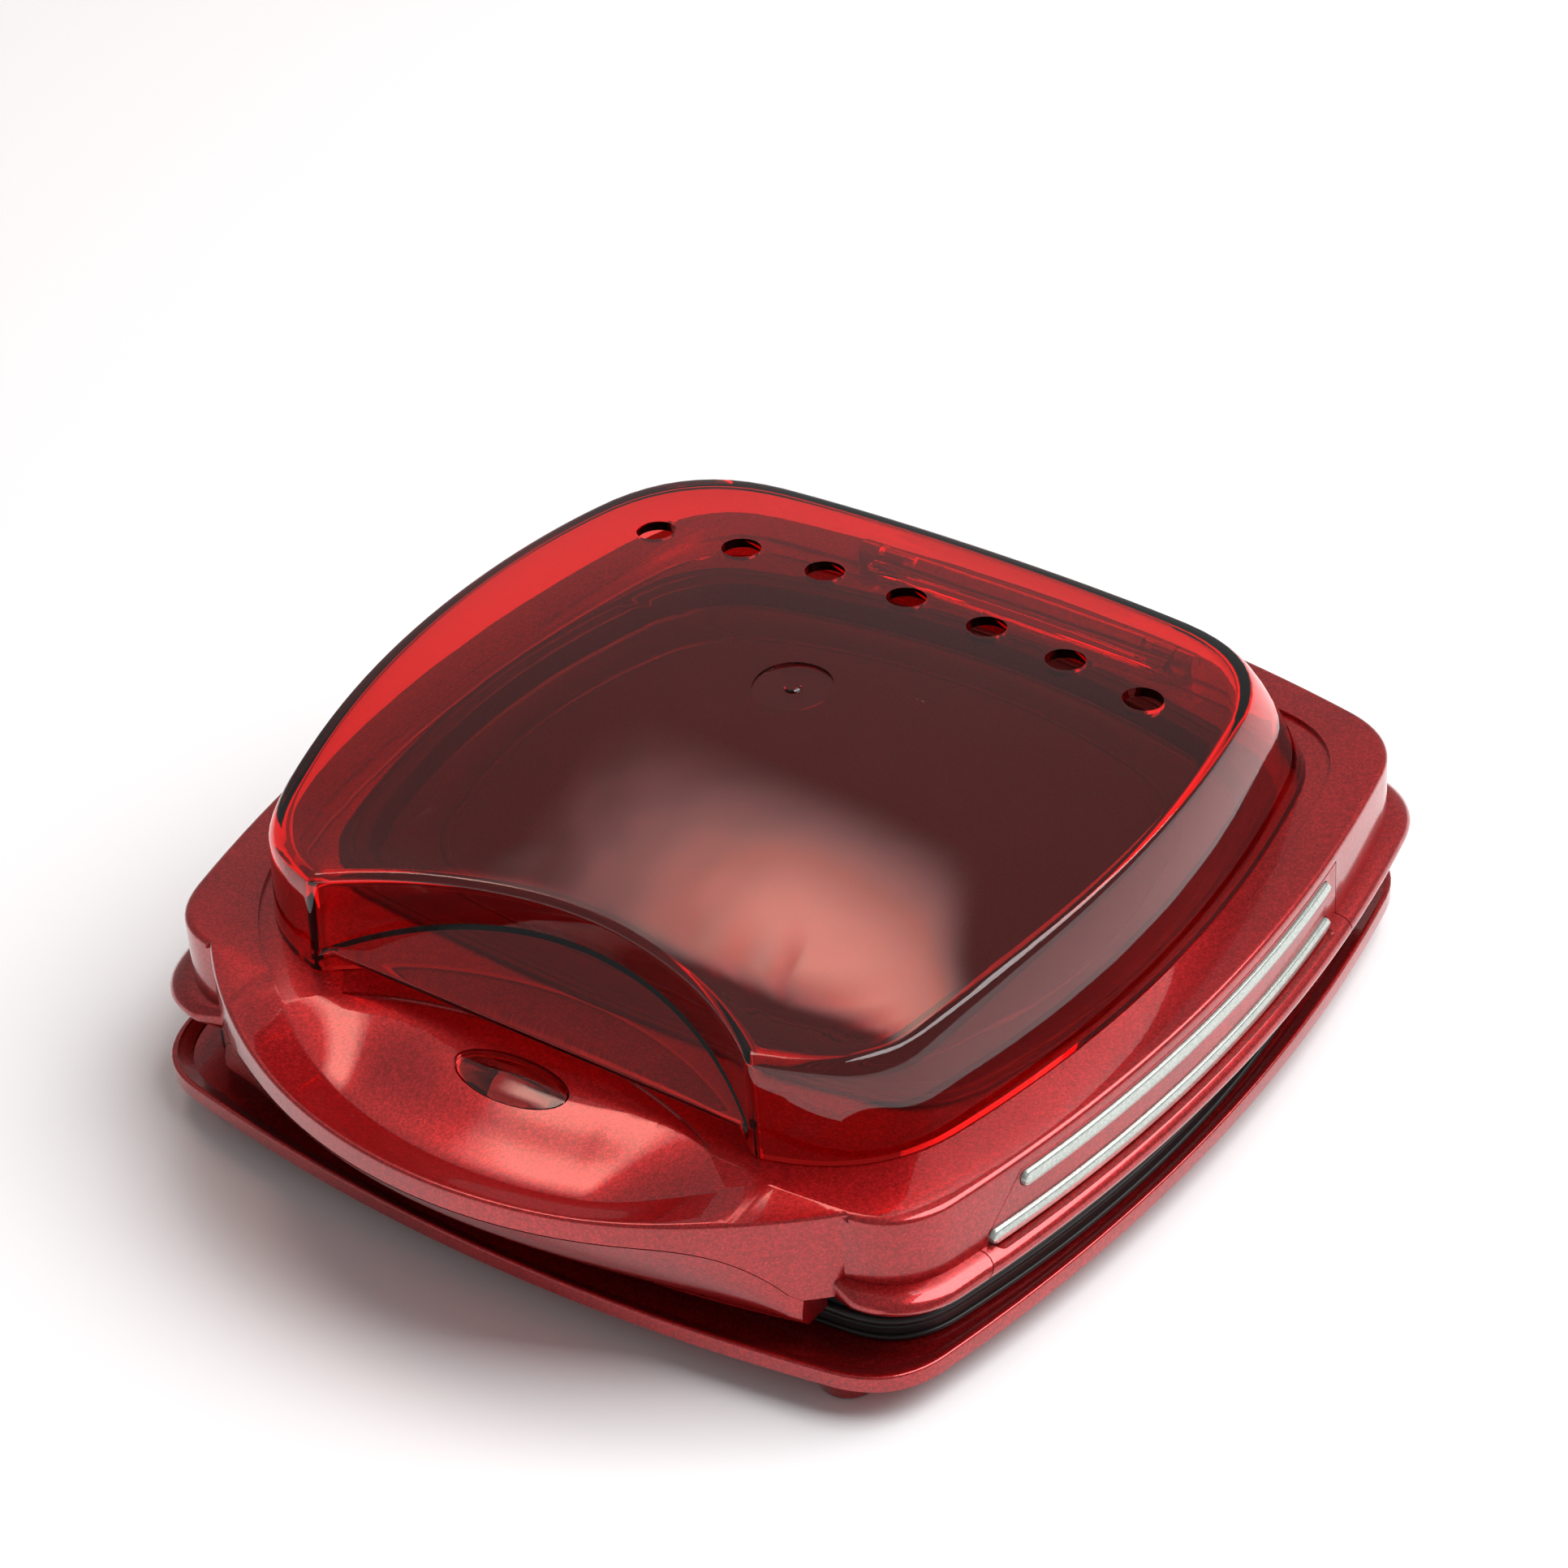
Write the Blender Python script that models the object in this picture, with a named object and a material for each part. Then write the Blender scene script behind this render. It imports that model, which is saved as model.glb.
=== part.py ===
"""Electric burger maker: a contact grill for one patty, whose hinged lid carries a bun warmer.

Metres, +Z up. The handle points to -Y, +X is to the right seen from the handle, and the origin is
on the table below the middle of the whole outline. The lid and the bun cover are shown closed.
"""

import math

import bmesh
import bpy
from mathutils import Matrix, Vector

# Fits that every piece shares
GAP = 0.0003
PIN_CLEARANCE = 0.00015
OVERRUN = 0.003

# Plan of the lid housing: a rounded square whose four sides bow outwards
HOUSING_CORNER_X = 0.1087
HOUSING_FRONT_CORNER_Y = -0.0969
HOUSING_BACK_CORNER_Y = 0.1240
SIDE_BOW = 0.0151
FRONT_BOW = 0.0060
BACK_BOW = 0.0140
CORNER_ROUND = 0.0150
SIDE_SHARES = (0, 0.05, 0.14, 0.26, 0.38, 0.5, 0.62, 0.74, 0.86, 0.95, 1)
CORNER_STEPS = 4

# Heights of the stack, from the table up
BODY_BOTTOM = 0.0032
RIM_BOTTOM = 0.0094
RIM_TOP = 0.0140
FLANGE_TOP = 0.0120
PARTING = 0.0160
HOUSING_BOTTOM = 0.0270
HOUSING_TOP = 0.0520

# Lid housing shell
SHELL_WALL = 0.0026
LEDGE_THICK = 0.0037
EDGE_ROUND = 0.0015
EDGE_STEPS = 2
BEAD_PROUD = 0.0045
BEAD_HEIGHT = 0.0062
BEAD_FRONT_END_X = 0.0880
BEAD_BACK_END_X = 0.0740
BEAD_END_RUN = 0.0060
BEAD_STEPS = 4
TRAY_SIDE_INSET = 0.0220
TRAY_FRONT_INSET = 0.0400
TRAY_BACK_INSET = 0.0300

# Handle: a crescent in front of the housing, dished on top
HANDLE_RADIUS = 0.1300
HANDLE_HALF_WIDTH = 0.0945
HANDLE_BACK_OVERLAP = 0.0014
HANDLE_STEPS = 26
HANDLE_TOP_STEP = 0.0001
HANDLE_END_LIFT = 0.0010
HANDLE_END_HALVINGS = 40
HOLLOW_END_INSET = 0.0104
HOLLOW_DEPTH_SHARES = (0, 0.3, 0.65, 1)
BAND_BOTTOM = 0.0446
BAND_FALL_START_X = 0.0500
BAND_FALL_RUN = 0.0400
BAND_FALL = 0.0260
BAND_FALL_POWER_SHARE = 3.5
DISH_DEPTH = 0.0064
DISH_LIP_RUN = 0.0130
DISH_FLOOR_RUN = 0.0290
DISH_MARGIN = 0.0003
DISH_FULL_ANGLE = math.radians(17)
DISH_END_ANGLE = math.radians(40)
DISH_CUT_ANGLE = math.radians(46.5)
DISH_COLUMNS = 30
DISH_FLOOR_SHARES = (1, 0.8, 0.6, 0.4, 0.2)
DISH_EDGE_SHARES = (1, 0.45, 0.12, 0)
GROOVE_RADIUS = 0.1450
GROOVE_OFFSET = 0.0160
GROOVE_WIDTH = 0.0044
GROOVE_DEPTH = 0.0009
GROOVE_HALF_ANGLE = math.radians(22)
GROOVE_TIP_SHARE = 0.12
LIP_BOTTOM = 0.0198
LIP_END_INSET = 0.0070
LIP_END_SETBACK = 0.0009
LIP_FRONT_REACH = 0.0126
LIP_BOW = 0.0110
LIP_WALL = 0.0025
LIP_BULGE = 0.0012

# Oval indicator lens in the handle dish, and the lamp below it
LENS_INSET = 0.0392
LENS_LENGTH = 0.0320
LENS_WIDTH = 0.0140
LENS_THICK = 0.0016
LENS_SINK = 0.0002
LENS_DOME = 0.0005
LENS_LEDGE = 0.0013
LENS_INNER_SHARE = 0.4
LENS_DOME_SHARE = 0.75
LENS_BOSS_MARGIN = 0.0020
LENS_BOSS_BOTTOM = 0.0450
LAMP_RADIUS = 0.0030
LAMP_LENGTH = 0.0160
LAMP_INSET = 0.0435

# Side panels with two trim strips each
PANEL_THICK = 0.0013
PANEL_TOP_DROP = 0.0032
PANEL_FRONT_LOW_INSET = 0.0169
PANEL_FRONT_HIGH_INSET = 0.0354
PANEL_BACK_INSET = 0.0500
PANEL_STEPS = 11
STRIP_HEIGHT = 0.0042
STRIP_THICK = 0.0014
STRIP_PROUD = 0.0009
UPPER_STRIP_DROP = 0.0065
LOWER_STRIP_DROP = 0.0173
UPPER_STRIP_FRONT_INSET = 0.0351
LOWER_STRIP_FRONT_INSET = 0.0247
STRIP_BACK_INSET = 0.0055
STRIP_STEPS = 10
STRIP_END_STEPS = 3
STRIP_END_SHARE = 0.35
STRIP_FLANK_SHARE = 0.35
STRIP_FACE_SHARE = 0.55

# Bun cover: a clear dome with a concave front, a thumb tab and a row of vents
COVER_SIDE_INSET = 0.0155
COVER_FRONT_INSET = 0.0149
COVER_BACK_INSET = 0.0120
COVER_FRONT_BOW = 0.0200
COVER_BACK_BOW = 0.0060
COVER_ROUND = 0.0200
COVER_CROWN_ROUND = 0.0260
COVER_WALL = 0.0026
COVER_CROWN = 0.0921
COVER_SHOULDER = 0.0200
COVER_SIDE_DRAFT = 0.0036
COVER_BACK_DRAFT = 0.0140
COVER_LEAN_SHARE = 0.6
COVER_SHOULDER_ROUND = 0.0020
COVER_ROUND_STEPS = 4
HOLLOW_ROUND_STEPS = 3
COVER_FRONT_DRAFT = 0.0010
COVER_FRONT_ROUND = 0.0020
CROWN_FRONT_FALL = 0.0131
CROWN_SIDE_FALL = 0.0040
CROWN_SIDE_POWER = 4
CROWN_FALL_START_INSET = 0.0969
CROWN_RING_SHARES = (0.86, 0.62, 0.33)
HOLLOW_RING_SHARES = (0.66, 0.33)
RECESS_DEPTH = 0.0011
RECESS_SIDE_MARGIN = 0.0045
RECESS_FRONT_SETBACK = 0.0168
RECESS_FRONT_BOW = 0.0440
NOTCH_RADIUS = 0.1000
NOTCH_APEX_INSET = 0.0284
NOTCH_STEPS = 84
TAB_ROOT_DROP = 0.0100
TAB_REACH = 0.0215
TAB_FALL = 0.0110
TAB_THICK = 0.0024
TAB_HALF_WIDTH = 0.0630
VENT_COUNT = 7
VENT_PITCH = 0.0245
VENT_RADIUS = 0.0051
VENT_ROW_INSET = 0.0575
VENT_ROW_RADIUS = 0.4170
GATE_Y = 0.0177
GATE_RADIUS = 0.0100
GATE_DEPTH = 0.0006

# Cover hinge on the back ledge
COVER_BARREL_RADIUS = 0.0036
COVER_PIN_RADIUS = 0.0015
COVER_BARREL_STANDOFF = 0.0042
COVER_BARREL_HALF_WIDTH = 0.0460
COVER_BRACKET_WIDTH = 0.0056
COVER_PIN_LENGTH = 0.0130

# Lid hinge at the back of the base
LID_AXIS_INSET = 0.0100
LID_BARREL_RADIUS = 0.0060
LID_PIN_RADIUS = 0.0025
LID_EAR_X = 0.0440
LID_EAR_WIDTH = 0.0070
LID_TOWER_WIDTH = 0.0100
LID_NOTCH_MARGIN = 0.0015

# Base: a tray-like rim that stands in front of the housing, on four moulded feet
RIM_SIDE_GROW = 0.0025
RIM_FRONT_GROW = 0.0093
RIM_BACK_INSET = 0.0008
RIM_SIDE_BOW = 0.0140
RIM_FRONT_BOW = 0.0123
RIM_BACK_BOW = 0.0130
RIM_WALL = 0.0016
RIM_LIP = 0.0012
RIM_LIP_EDGE = 0.0004
RIM_SLOPE_RUN = 0.0024
BODY_INSET = 0.0215
BODY_WALL = 0.0024
BODY_DRAFT = 0.0017
SEAT_INSET = 0.0040
FOOT_SIDE_INSET = 0.0197
FOOT_FRONT_INSET = 0.0092
FOOT_BACK_INSET = 0.0212
FOOT_TOP_RADIUS = 0.0085
FOOT_BOTTOM_RADIUS = 0.0072
FOOT_BOTTOM = 0.0004
PAD_RADIUS = 0.0052
PAD_HEIGHT = 0.0018
BOTTOM_COVER_THICK = 0.0016

# Black frames round the two cooking plates
BEZEL_INSET = 0.0030
BEZEL_BACK_INSET = 0.0175
BEZEL_INNER_INSET = 0.0237
BEZEL_INNER_BACK_INSET = 0.0357
BEZEL_WALL = 0.0024
BEZEL_FLOOR = 0.0034
BEZEL_EDGE_ROUND = 0.0010

# Cooking plates, elements and what surrounds them
PLATE_FLANGE = 0.0026
PLATE_SINK = 0.0002
PLATE_BACK_BOW = 0.0120
WELL_RADIUS = 0.0580
WELL_DRAFT = 0.0020
LOWER_WELL_DEPTH = 0.0024
UPPER_WELL_DEPTH = 0.0146
PAN_WALL = 0.0024
RIDGE_COUNT = 7
RIDGE_PITCH = 0.0140
RIDGE_WIDTH = 0.0030
RIDGE_HEIGHT = 0.0012
ELEMENT_RING_RADIUS = 0.0420
LOWER_ELEMENT_RADIUS = 0.0022
UPPER_ELEMENT_RADIUS = 0.0030
ELEMENT_GAP_ANGLE = math.radians(28)
SHIELD_THICK = 0.0005
SHIELD_INSET = 0.0320
BUN_FLANGE = 0.0030
BUN_PLATE_THICK = 0.0010
BUN_WELL_DEPTH = 0.0062
BUN_WELL_DRAFT = 0.0030

# Small electrical pieces
THERMOSTAT_RADIUS = 0.0080
THERMOSTAT_HEIGHT = 0.0064
FUSE_RADIUS = 0.0024
FUSE_LENGTH = 0.0120
FUSE_OFFSET_Y = 0.0200
BLOCK_LENGTH = 0.0240
BLOCK_WIDTH = 0.0100
BLOCK_HEIGHT = 0.0060
CORD_X = 0.0300
CORD_Z = 0.0400
BUSHING_RADIUS = 0.0055
BUSHING_BORE = 0.0034
BUSHING_FLANGE_RADIUS = 0.0075
BUSHING_FLANGE = 0.0018
BUSHING_NOSE = 0.0006

# Fasteners
SCREW_RADIUS = 0.0015
SCREW_HEAD_RADIUS = 0.0029
SCREW_HEAD_HEIGHT = 0.0016
SCREW_HEAD_TOP_SHARE = 0.8
BOSS_RADIUS = 0.0040
LID_SCREW_SIDE_INSET = 0.0207
LID_SCREW_FRONT_INSET = 0.0147
LID_SCREW_BACK_INSET = 0.0290
LID_SCREW_LENGTH = 0.0110
BASE_SCREW_SIDE_INSET = 0.0287
BASE_SCREW_FRONT_INSET = 0.0289
BASE_SCREW_BACK_INSET = 0.0390
BASE_SCREW_LENGTH = 0.0068

# Roundness of turned pieces
TURNED_STEPS = 28
PIN_STEPS = 14
SCREW_STEPS = 10
VENT_STEPS = 18
ELEMENT_STEPS = 30
ELEMENT_SIDES = 7
SHARP_ANGLE = math.radians(32)

HOUSING_BACK_Y = HOUSING_BACK_CORNER_Y + BACK_BOW
HANDLE_APEX_Y = -HOUSING_BACK_Y
HANDLE_CENTRE_Y = HANDLE_APEX_Y + HANDLE_RADIUS
LENS_Y = HANDLE_APEX_Y + LENS_INSET
LAMP_Y = HANDLE_APEX_Y + LAMP_INSET
PANEL_FRONT_LOW_Y = HOUSING_FRONT_CORNER_Y + PANEL_FRONT_LOW_INSET
PANEL_FRONT_HIGH_Y = HOUSING_FRONT_CORNER_Y + PANEL_FRONT_HIGH_INSET
PANEL_BACK_Y = HOUSING_BACK_CORNER_Y - PANEL_BACK_INSET
UPPER_STRIP_FRONT_Y = HOUSING_FRONT_CORNER_Y + UPPER_STRIP_FRONT_INSET
LOWER_STRIP_FRONT_Y = HOUSING_FRONT_CORNER_Y + LOWER_STRIP_FRONT_INSET
STRIP_BACK_Y = PANEL_BACK_Y - STRIP_BACK_INSET
CROWN_FALL_START_Y = HOUSING_BACK_CORNER_Y - CROWN_FALL_START_INSET
NOTCH_APEX_Y = HOUSING_FRONT_CORNER_Y + NOTCH_APEX_INSET
VENT_ROW_Y = HOUSING_BACK_CORNER_Y - VENT_ROW_INSET
FOOT_X = HOUSING_CORNER_X + RIM_SIDE_GROW - FOOT_SIDE_INSET
FOOT_FRONT_Y = HOUSING_FRONT_CORNER_Y - RIM_FRONT_GROW + FOOT_FRONT_INSET
FOOT_BACK_Y = HOUSING_BACK_CORNER_Y - RIM_BACK_INSET - FOOT_BACK_INSET
LID_SCREW_X = HOUSING_CORNER_X - LID_SCREW_SIDE_INSET
LID_SCREW_FRONT_Y = HOUSING_FRONT_CORNER_Y + LID_SCREW_FRONT_INSET
LID_SCREW_BACK_Y = HOUSING_BACK_CORNER_Y - LID_SCREW_BACK_INSET
BASE_SCREW_X = HOUSING_CORNER_X - BASE_SCREW_SIDE_INSET
BASE_SCREW_FRONT_Y = HOUSING_FRONT_CORNER_Y + BASE_SCREW_FRONT_INSET
BASE_SCREW_BACK_Y = HOUSING_BACK_CORNER_Y - BASE_SCREW_BACK_INSET
LID_AXIS_Y = HOUSING_BACK_Y - LID_AXIS_INSET
LID_AXIS_Z = HOUSING_BOTTOM
COVER_BOTTOM = HOUSING_TOP - RECESS_DEPTH + GAP
COVER_AXIS_Y = HOUSING_BACK_CORNER_Y - COVER_BACK_INSET + COVER_BACK_BOW + COVER_BARREL_STANDOFF
COVER_AXIS_Z = HOUSING_TOP + COVER_BARREL_RADIUS + GAP
PLATE_CENTRE_Y = (HOUSING_FRONT_CORNER_Y + BEZEL_INNER_INSET - FRONT_BOW
                  + HOUSING_BACK_CORNER_Y - BEZEL_INNER_BACK_INSET + PLATE_BACK_BOW) / 2

HOUSING = dict(side=0, front=0, back=0)
RIM = dict(side=RIM_SIDE_GROW, front=RIM_FRONT_GROW, back=-RIM_BACK_INSET,
           side_bow=RIM_SIDE_BOW, front_bow=RIM_FRONT_BOW, back_bow=RIM_BACK_BOW)
COVER = dict(side=-COVER_SIDE_INSET, front=-COVER_FRONT_INSET, back=-COVER_BACK_INSET,
             front_bow=COVER_FRONT_BOW, back_bow=COVER_BACK_BOW, rounding=COVER_ROUND)
TRAY = dict(side=-TRAY_SIDE_INSET, front=-TRAY_FRONT_INSET, back=-TRAY_BACK_INSET)
BEZEL = dict(side=-BEZEL_INSET, front=-BEZEL_INSET, back=-BEZEL_BACK_INSET)
PLATE = dict(side=-BEZEL_INNER_INSET, front=-BEZEL_INNER_INSET, back=-BEZEL_INNER_BACK_INSET,
             back_bow=PLATE_BACK_BOW)


# Outlines and lofts

def side_point(start, end, bow, t):
    """A point of the bowed side from start to end, which stands out by bow at its middle."""
    along = end - start
    out = Vector((along.y, -along.x)).normalized()
    return start + along * t + out * (4 * bow * t * (1 - t))


def outline(side, front, back, grow=0, side_bow=SIDE_BOW, front_bow=FRONT_BOW,
            back_bow=BACK_BOW, rounding=CORNER_ROUND):
    """The bowed square as (x, y) points, anticlockwise from the front left corner."""
    x = HOUSING_CORNER_X + side + grow
    low = HOUSING_FRONT_CORNER_Y - front - grow
    high = HOUSING_BACK_CORNER_Y + back + grow
    corners = [Vector((-x, low)), Vector((x, low)), Vector((x, high)), Vector((-x, high))]
    bows = (front_bow, side_bow, back_bow, side_bow)
    points = []
    for i in range(4):
        start, end, after = corners[i], corners[(i + 1) % 4], corners[(i + 2) % 4]
        share = rounding / (end - start).length
        for along in SIDE_SHARES:
            t = share + (1 - 2 * share) * along
            points.append(side_point(start, end, bows[i], t))
        first = points[-1]
        last = side_point(end, after, bows[(i + 1) % 4], rounding / (after - end).length)
        for step in range(1, CORNER_STEPS):
            t = step / CORNER_STEPS
            points.append(first * (1 - t) ** 2 + end * (2 * t * (1 - t)) + last * t ** 2)
    return points


def ring(plan, z, grow=0):
    """An outline lifted to z. The height may be a number or a rule of (x, y)."""
    height = z if callable(z) else lambda x, y: z
    return [Vector((p.x, p.y, height(p.x, p.y))) for p in outline(grow=grow, **plan)]


def circle(radius, z, count, centre=(0, 0), start=0):
    """Points of a level circle, anticlockwise from the given angle."""
    turn = 2 * math.pi / count
    return [Vector((centre[0] + radius * math.cos(start + turn * i),
                    centre[1] + radius * math.sin(start + turn * i), z)) for i in range(count)]


def well_ring(radius, z):
    """A circle round the plates' centre with the outline's point count, in step with it."""
    count = len(outline(**HOUSING))
    first = outline(**PLATE)[0]
    return circle(radius, z, count, (0, PLATE_CENTRE_Y),
                  math.atan2(first.y - PLATE_CENTRE_Y, first.x))


def loft(rings, closed=False):
    """A mesh through the rings: its ends are capped, or joined where it is closed."""
    shape = bmesh.new()
    rows = [[shape.verts.new(point) for point in points] for points in rings]
    pairs = list(zip(rows, rows[1:]))
    if closed:
        pairs.append((rows[-1], rows[0]))
    for low, high in pairs:
        count = len(low)
        for i in range(count):
            j = (i + 1) % count
            shape.faces.new((low[i], low[j], high[j], high[i]))
    if not closed:
        shape.faces.new(list(reversed(rows[0])))
        shape.faces.new(rows[-1])
    return finished(shape)


def finished(shape):
    """Turns a closed bmesh into a mesh with its faces pointing out."""
    bmesh.ops.recalc_face_normals(shape, faces=shape.faces)
    if shape.calc_volume(signed=True) < 0:
        bmesh.ops.reverse_faces(shape, faces=shape.faces)
    mesh = bpy.data.meshes.new("shape")
    shape.to_mesh(mesh)
    shape.free()
    return mesh


def joined(meshes):
    """Several closed meshes held in one, for a cutter or a union of like pieces."""
    shape = bmesh.new()
    for mesh in meshes:
        shape.from_mesh(mesh)
    return finished(shape)


def block(low, high):
    """A box between two corners."""
    shape = bmesh.new()
    bmesh.ops.create_cube(shape, size=1)
    low, high = Vector(low), Vector(high)
    bmesh.ops.scale(shape, vec=high - low, verts=shape.verts)
    bmesh.ops.translate(shape, vec=(low + high) / 2, verts=shape.verts)
    return finished(shape)


def cone(bottom_radius, top_radius, low, high, centre=(0, 0), count=TURNED_STEPS):
    """An upright cylinder or cone between two heights."""
    start = math.pi / count
    return loft([circle(bottom_radius, low, count, centre, start),
                 circle(top_radius, high, count, centre, start)])


def rod(radius, start_x, end_x, y, z, count=PIN_STEPS):
    """A cylinder along X."""
    shape = bmesh.new()
    bmesh.ops.create_cone(shape, cap_ends=True, segments=count, radius1=radius, radius2=radius,
                          depth=end_x - start_x)
    bmesh.ops.rotate(shape, cent=(0, 0, 0), matrix=Matrix.Rotation(math.pi / 2, 3, "Y"),
                     verts=shape.verts)
    bmesh.ops.translate(shape, vec=((start_x + end_x) / 2, y, z), verts=shape.verts)
    return finished(shape)


def lug(start_x, end_x, y, z, radius, leg_z, count=SCREW_STEPS):
    """A hinge lug: a half round about the axis, with a straight leg that ends at leg_z."""
    turn = math.pi if leg_z > z else 0
    section = [(y + radius, leg_z), (y - radius, leg_z)]
    if leg_z < z:
        section.reverse()
    for i in range(count + 1):
        angle = turn + math.pi * i / count
        section.append((y + radius * math.cos(angle), z + radius * math.sin(angle)))
    return loft([[Vector((x, a, b)) for a, b in section] for x in (start_x, end_x)])


def grid_block(xs, y_of, z_low, z_high, shares=(0, 1)):
    """A block whose plan runs from y_of(x, 0) to y_of(x, 1), with ruled bottom and top heights."""
    shape = bmesh.new()
    low, high = [], []
    for x in xs:
        ys = [y_of(x, share) for share in shares]
        low.append([shape.verts.new((x, y, z_low(x, y))) for y in ys])
        high.append([shape.verts.new((x, y, z_high(x, y))) for y in ys])
    for i in range(len(xs) - 1):
        for j in range(len(shares) - 1):
            for rows in (low, high):
                shape.faces.new((rows[i][j], rows[i + 1][j], rows[i + 1][j + 1], rows[i][j + 1]))
        for j in (0, -1):
            shape.faces.new((low[i][j], low[i + 1][j], high[i + 1][j], high[i][j]))
    for i in (0, -1):
        for j in range(len(shares) - 1):
            shape.faces.new((low[i][j], low[i][j + 1], high[i][j + 1], high[i][j]))
    return finished(shape)


# Objects, materials and Booleans

def material(name, colour, roughness, metallic=0, alpha=1):
    """A Principled material, made once."""
    if name in bpy.data.materials:
        return bpy.data.materials[name]
    made = bpy.data.materials.new(name)
    made.use_nodes = True
    shader = made.node_tree.nodes["Principled BSDF"]
    shader.inputs["Base Color"].default_value = (*colour, 1)
    shader.inputs["Roughness"].default_value = roughness
    shader.inputs["Metallic"].default_value = metallic
    shader.inputs["Alpha"].default_value = alpha
    return made


def red_paint():
    return material("metallic red paint", (0.33, 0.012, 0.012), 0.28, 0.4)


def clear_red():
    return material("clear red polycarbonate", (0.60, 0.02, 0.015), 0.05, 0, 0.45)


def black_plastic():
    return material("black heat proof plastic", (0.012, 0.013, 0.013), 0.42)


def nonstick():
    return material("black nonstick coating", (0.030, 0.029, 0.028), 0.35, 0.3)


def silver_trim():
    return material("satin silver trim", (0.62, 0.67, 0.62), 0.32, 0.6)


def steel():
    return material("bright steel", (0.55, 0.55, 0.54), 0.35, 1)


def rubber():
    return material("dark rubber", (0.02, 0.02, 0.02), 0.8)


def ceramic():
    return material("white ceramic", (0.75, 0.73, 0.68), 0.5)


def empty_at(name, location, parent=None):
    made = bpy.data.objects.new(name, None)
    made.location = location
    bpy.context.scene.collection.objects.link(made)
    bpy.context.view_layer.update()
    if parent:
        carry(made, parent)
    return made


def carry(child, parent):
    """Parents a child that keeps its place."""
    bpy.context.view_layer.update()
    child.parent = parent
    child.matrix_parent_inverse = parent.matrix_world.inverted()
    bpy.context.view_layer.update()


def piece(name, mesh, look, parent=None):
    made = bpy.data.objects.new(name, mesh)
    mesh.name = name
    mesh.materials.append(look)
    mesh.shade_smooth()
    mesh.set_sharp_from_angle(angle=SHARP_ANGLE)
    bpy.context.scene.collection.objects.link(made)
    if parent:
        carry(made, parent)
    return made


def cutter(name, mesh):
    made = bpy.data.objects.new(name, mesh)
    made.hide_render = True
    made.display_type = "WIRE"
    bpy.context.scene.collection.objects.link(made)
    return made


def combine(target, operation, mesh, label):
    """Adds one exact Boolean to the target."""
    tool = mesh if isinstance(mesh, bpy.types.Object) else cutter(f"{target.name}_{label}", mesh)
    made = target.modifiers.new(label, "BOOLEAN")
    made.operation = operation
    made.solver = "EXACT"
    made.object = tool
    return tool


def cut(target, mesh, label):
    return combine(target, "DIFFERENCE", mesh, label)


def join(target, mesh, label):
    return combine(target, "UNION", mesh, label)


# Lid housing

def smooth_step(t):
    t = min(max(t, 0), 1)
    return t * t * (3 - 2 * t)


def bead_share(point):
    """How much of the bead stands at this point of the outline: none under the handle or hinge."""
    end = BEAD_FRONT_END_X if point.y < 0 else BEAD_BACK_END_X
    if abs(point.y) < -HOUSING_FRONT_CORNER_Y - CORNER_ROUND:
        return 1
    return smooth_step((abs(point.x) - end) / BEAD_END_RUN)


def bead_profile():
    """(share of the bead's reach, height) up the bead, a half round from bottom to top."""
    for step in range(BEAD_STEPS + 1):
        angle = math.pi * (step / BEAD_STEPS - 0.5)
        yield math.cos(angle), HOUSING_BOTTOM + BEAD_HEIGHT * (1 + math.sin(angle)) / 2


def housing_ring(z, bead=0, grow=0):
    """The housing's outline at z, swollen by the bead where it has one."""
    base, swollen = ring(HOUSING, z, grow), ring(HOUSING, z, grow + BEAD_PROUD)
    return [p.lerp(q, bead * bead_share(p)) for p, q in zip(base, swollen)]


def edge_profile():
    """(inset, drop) of a rounded top edge, from the wall to the ledge."""
    for step in range(EDGE_STEPS + 1):
        angle = math.pi / 2 * step / EDGE_STEPS
        yield EDGE_ROUND * (1 - math.cos(angle)), EDGE_ROUND * (1 - math.sin(angle))


def housing_rings():
    rings = [housing_ring(z, bead) for bead, z in bead_profile()]
    rings += [housing_ring(HOUSING_TOP - drop, grow=-inset) for inset, drop in edge_profile()]
    rings.append(ring(TRAY, HOUSING_TOP))
    rings.append(ring(TRAY, HOUSING_TOP - LEDGE_THICK))
    rings.append(ring(HOUSING, HOUSING_TOP - LEDGE_THICK, -SHELL_WALL))
    rings.append(ring(HOUSING, HOUSING_BOTTOM, -SHELL_WALL))
    return rings


def handle_front(x, radius=HANDLE_RADIUS):
    """Where the handle's front face stands at x."""
    return HANDLE_CENTRE_Y - math.sqrt(radius ** 2 - x ** 2)


def housing_front(x):
    """Where the housing's front wall stands at x, behind the handle."""
    share = x / HOUSING_CORNER_X
    return HOUSING_FRONT_CORNER_Y - FRONT_BOW * (1 - share ** 2)


def handle_end():
    """How far from the middle the crescent ends, where its arc meets the housing's front wall."""
    near, far = 0, HANDLE_HALF_WIDTH
    for _ in range(HANDLE_END_HALVINGS):
        middle = (near + far) / 2
        if handle_front(middle) < housing_front(middle):
            near = middle
        else:
            far = middle
    return near


def band_bottom(x):
    """Lower edge of the handle's upper band: level in the middle, falling towards the ends."""
    share = min(max((abs(x) - BAND_FALL_START_X) / BAND_FALL_RUN, 0), 1)
    return max(BAND_BOTTOM - BAND_FALL * share ** BAND_FALL_POWER_SHARE,
               HOUSING_BOTTOM + HANDLE_END_LIFT)


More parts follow.
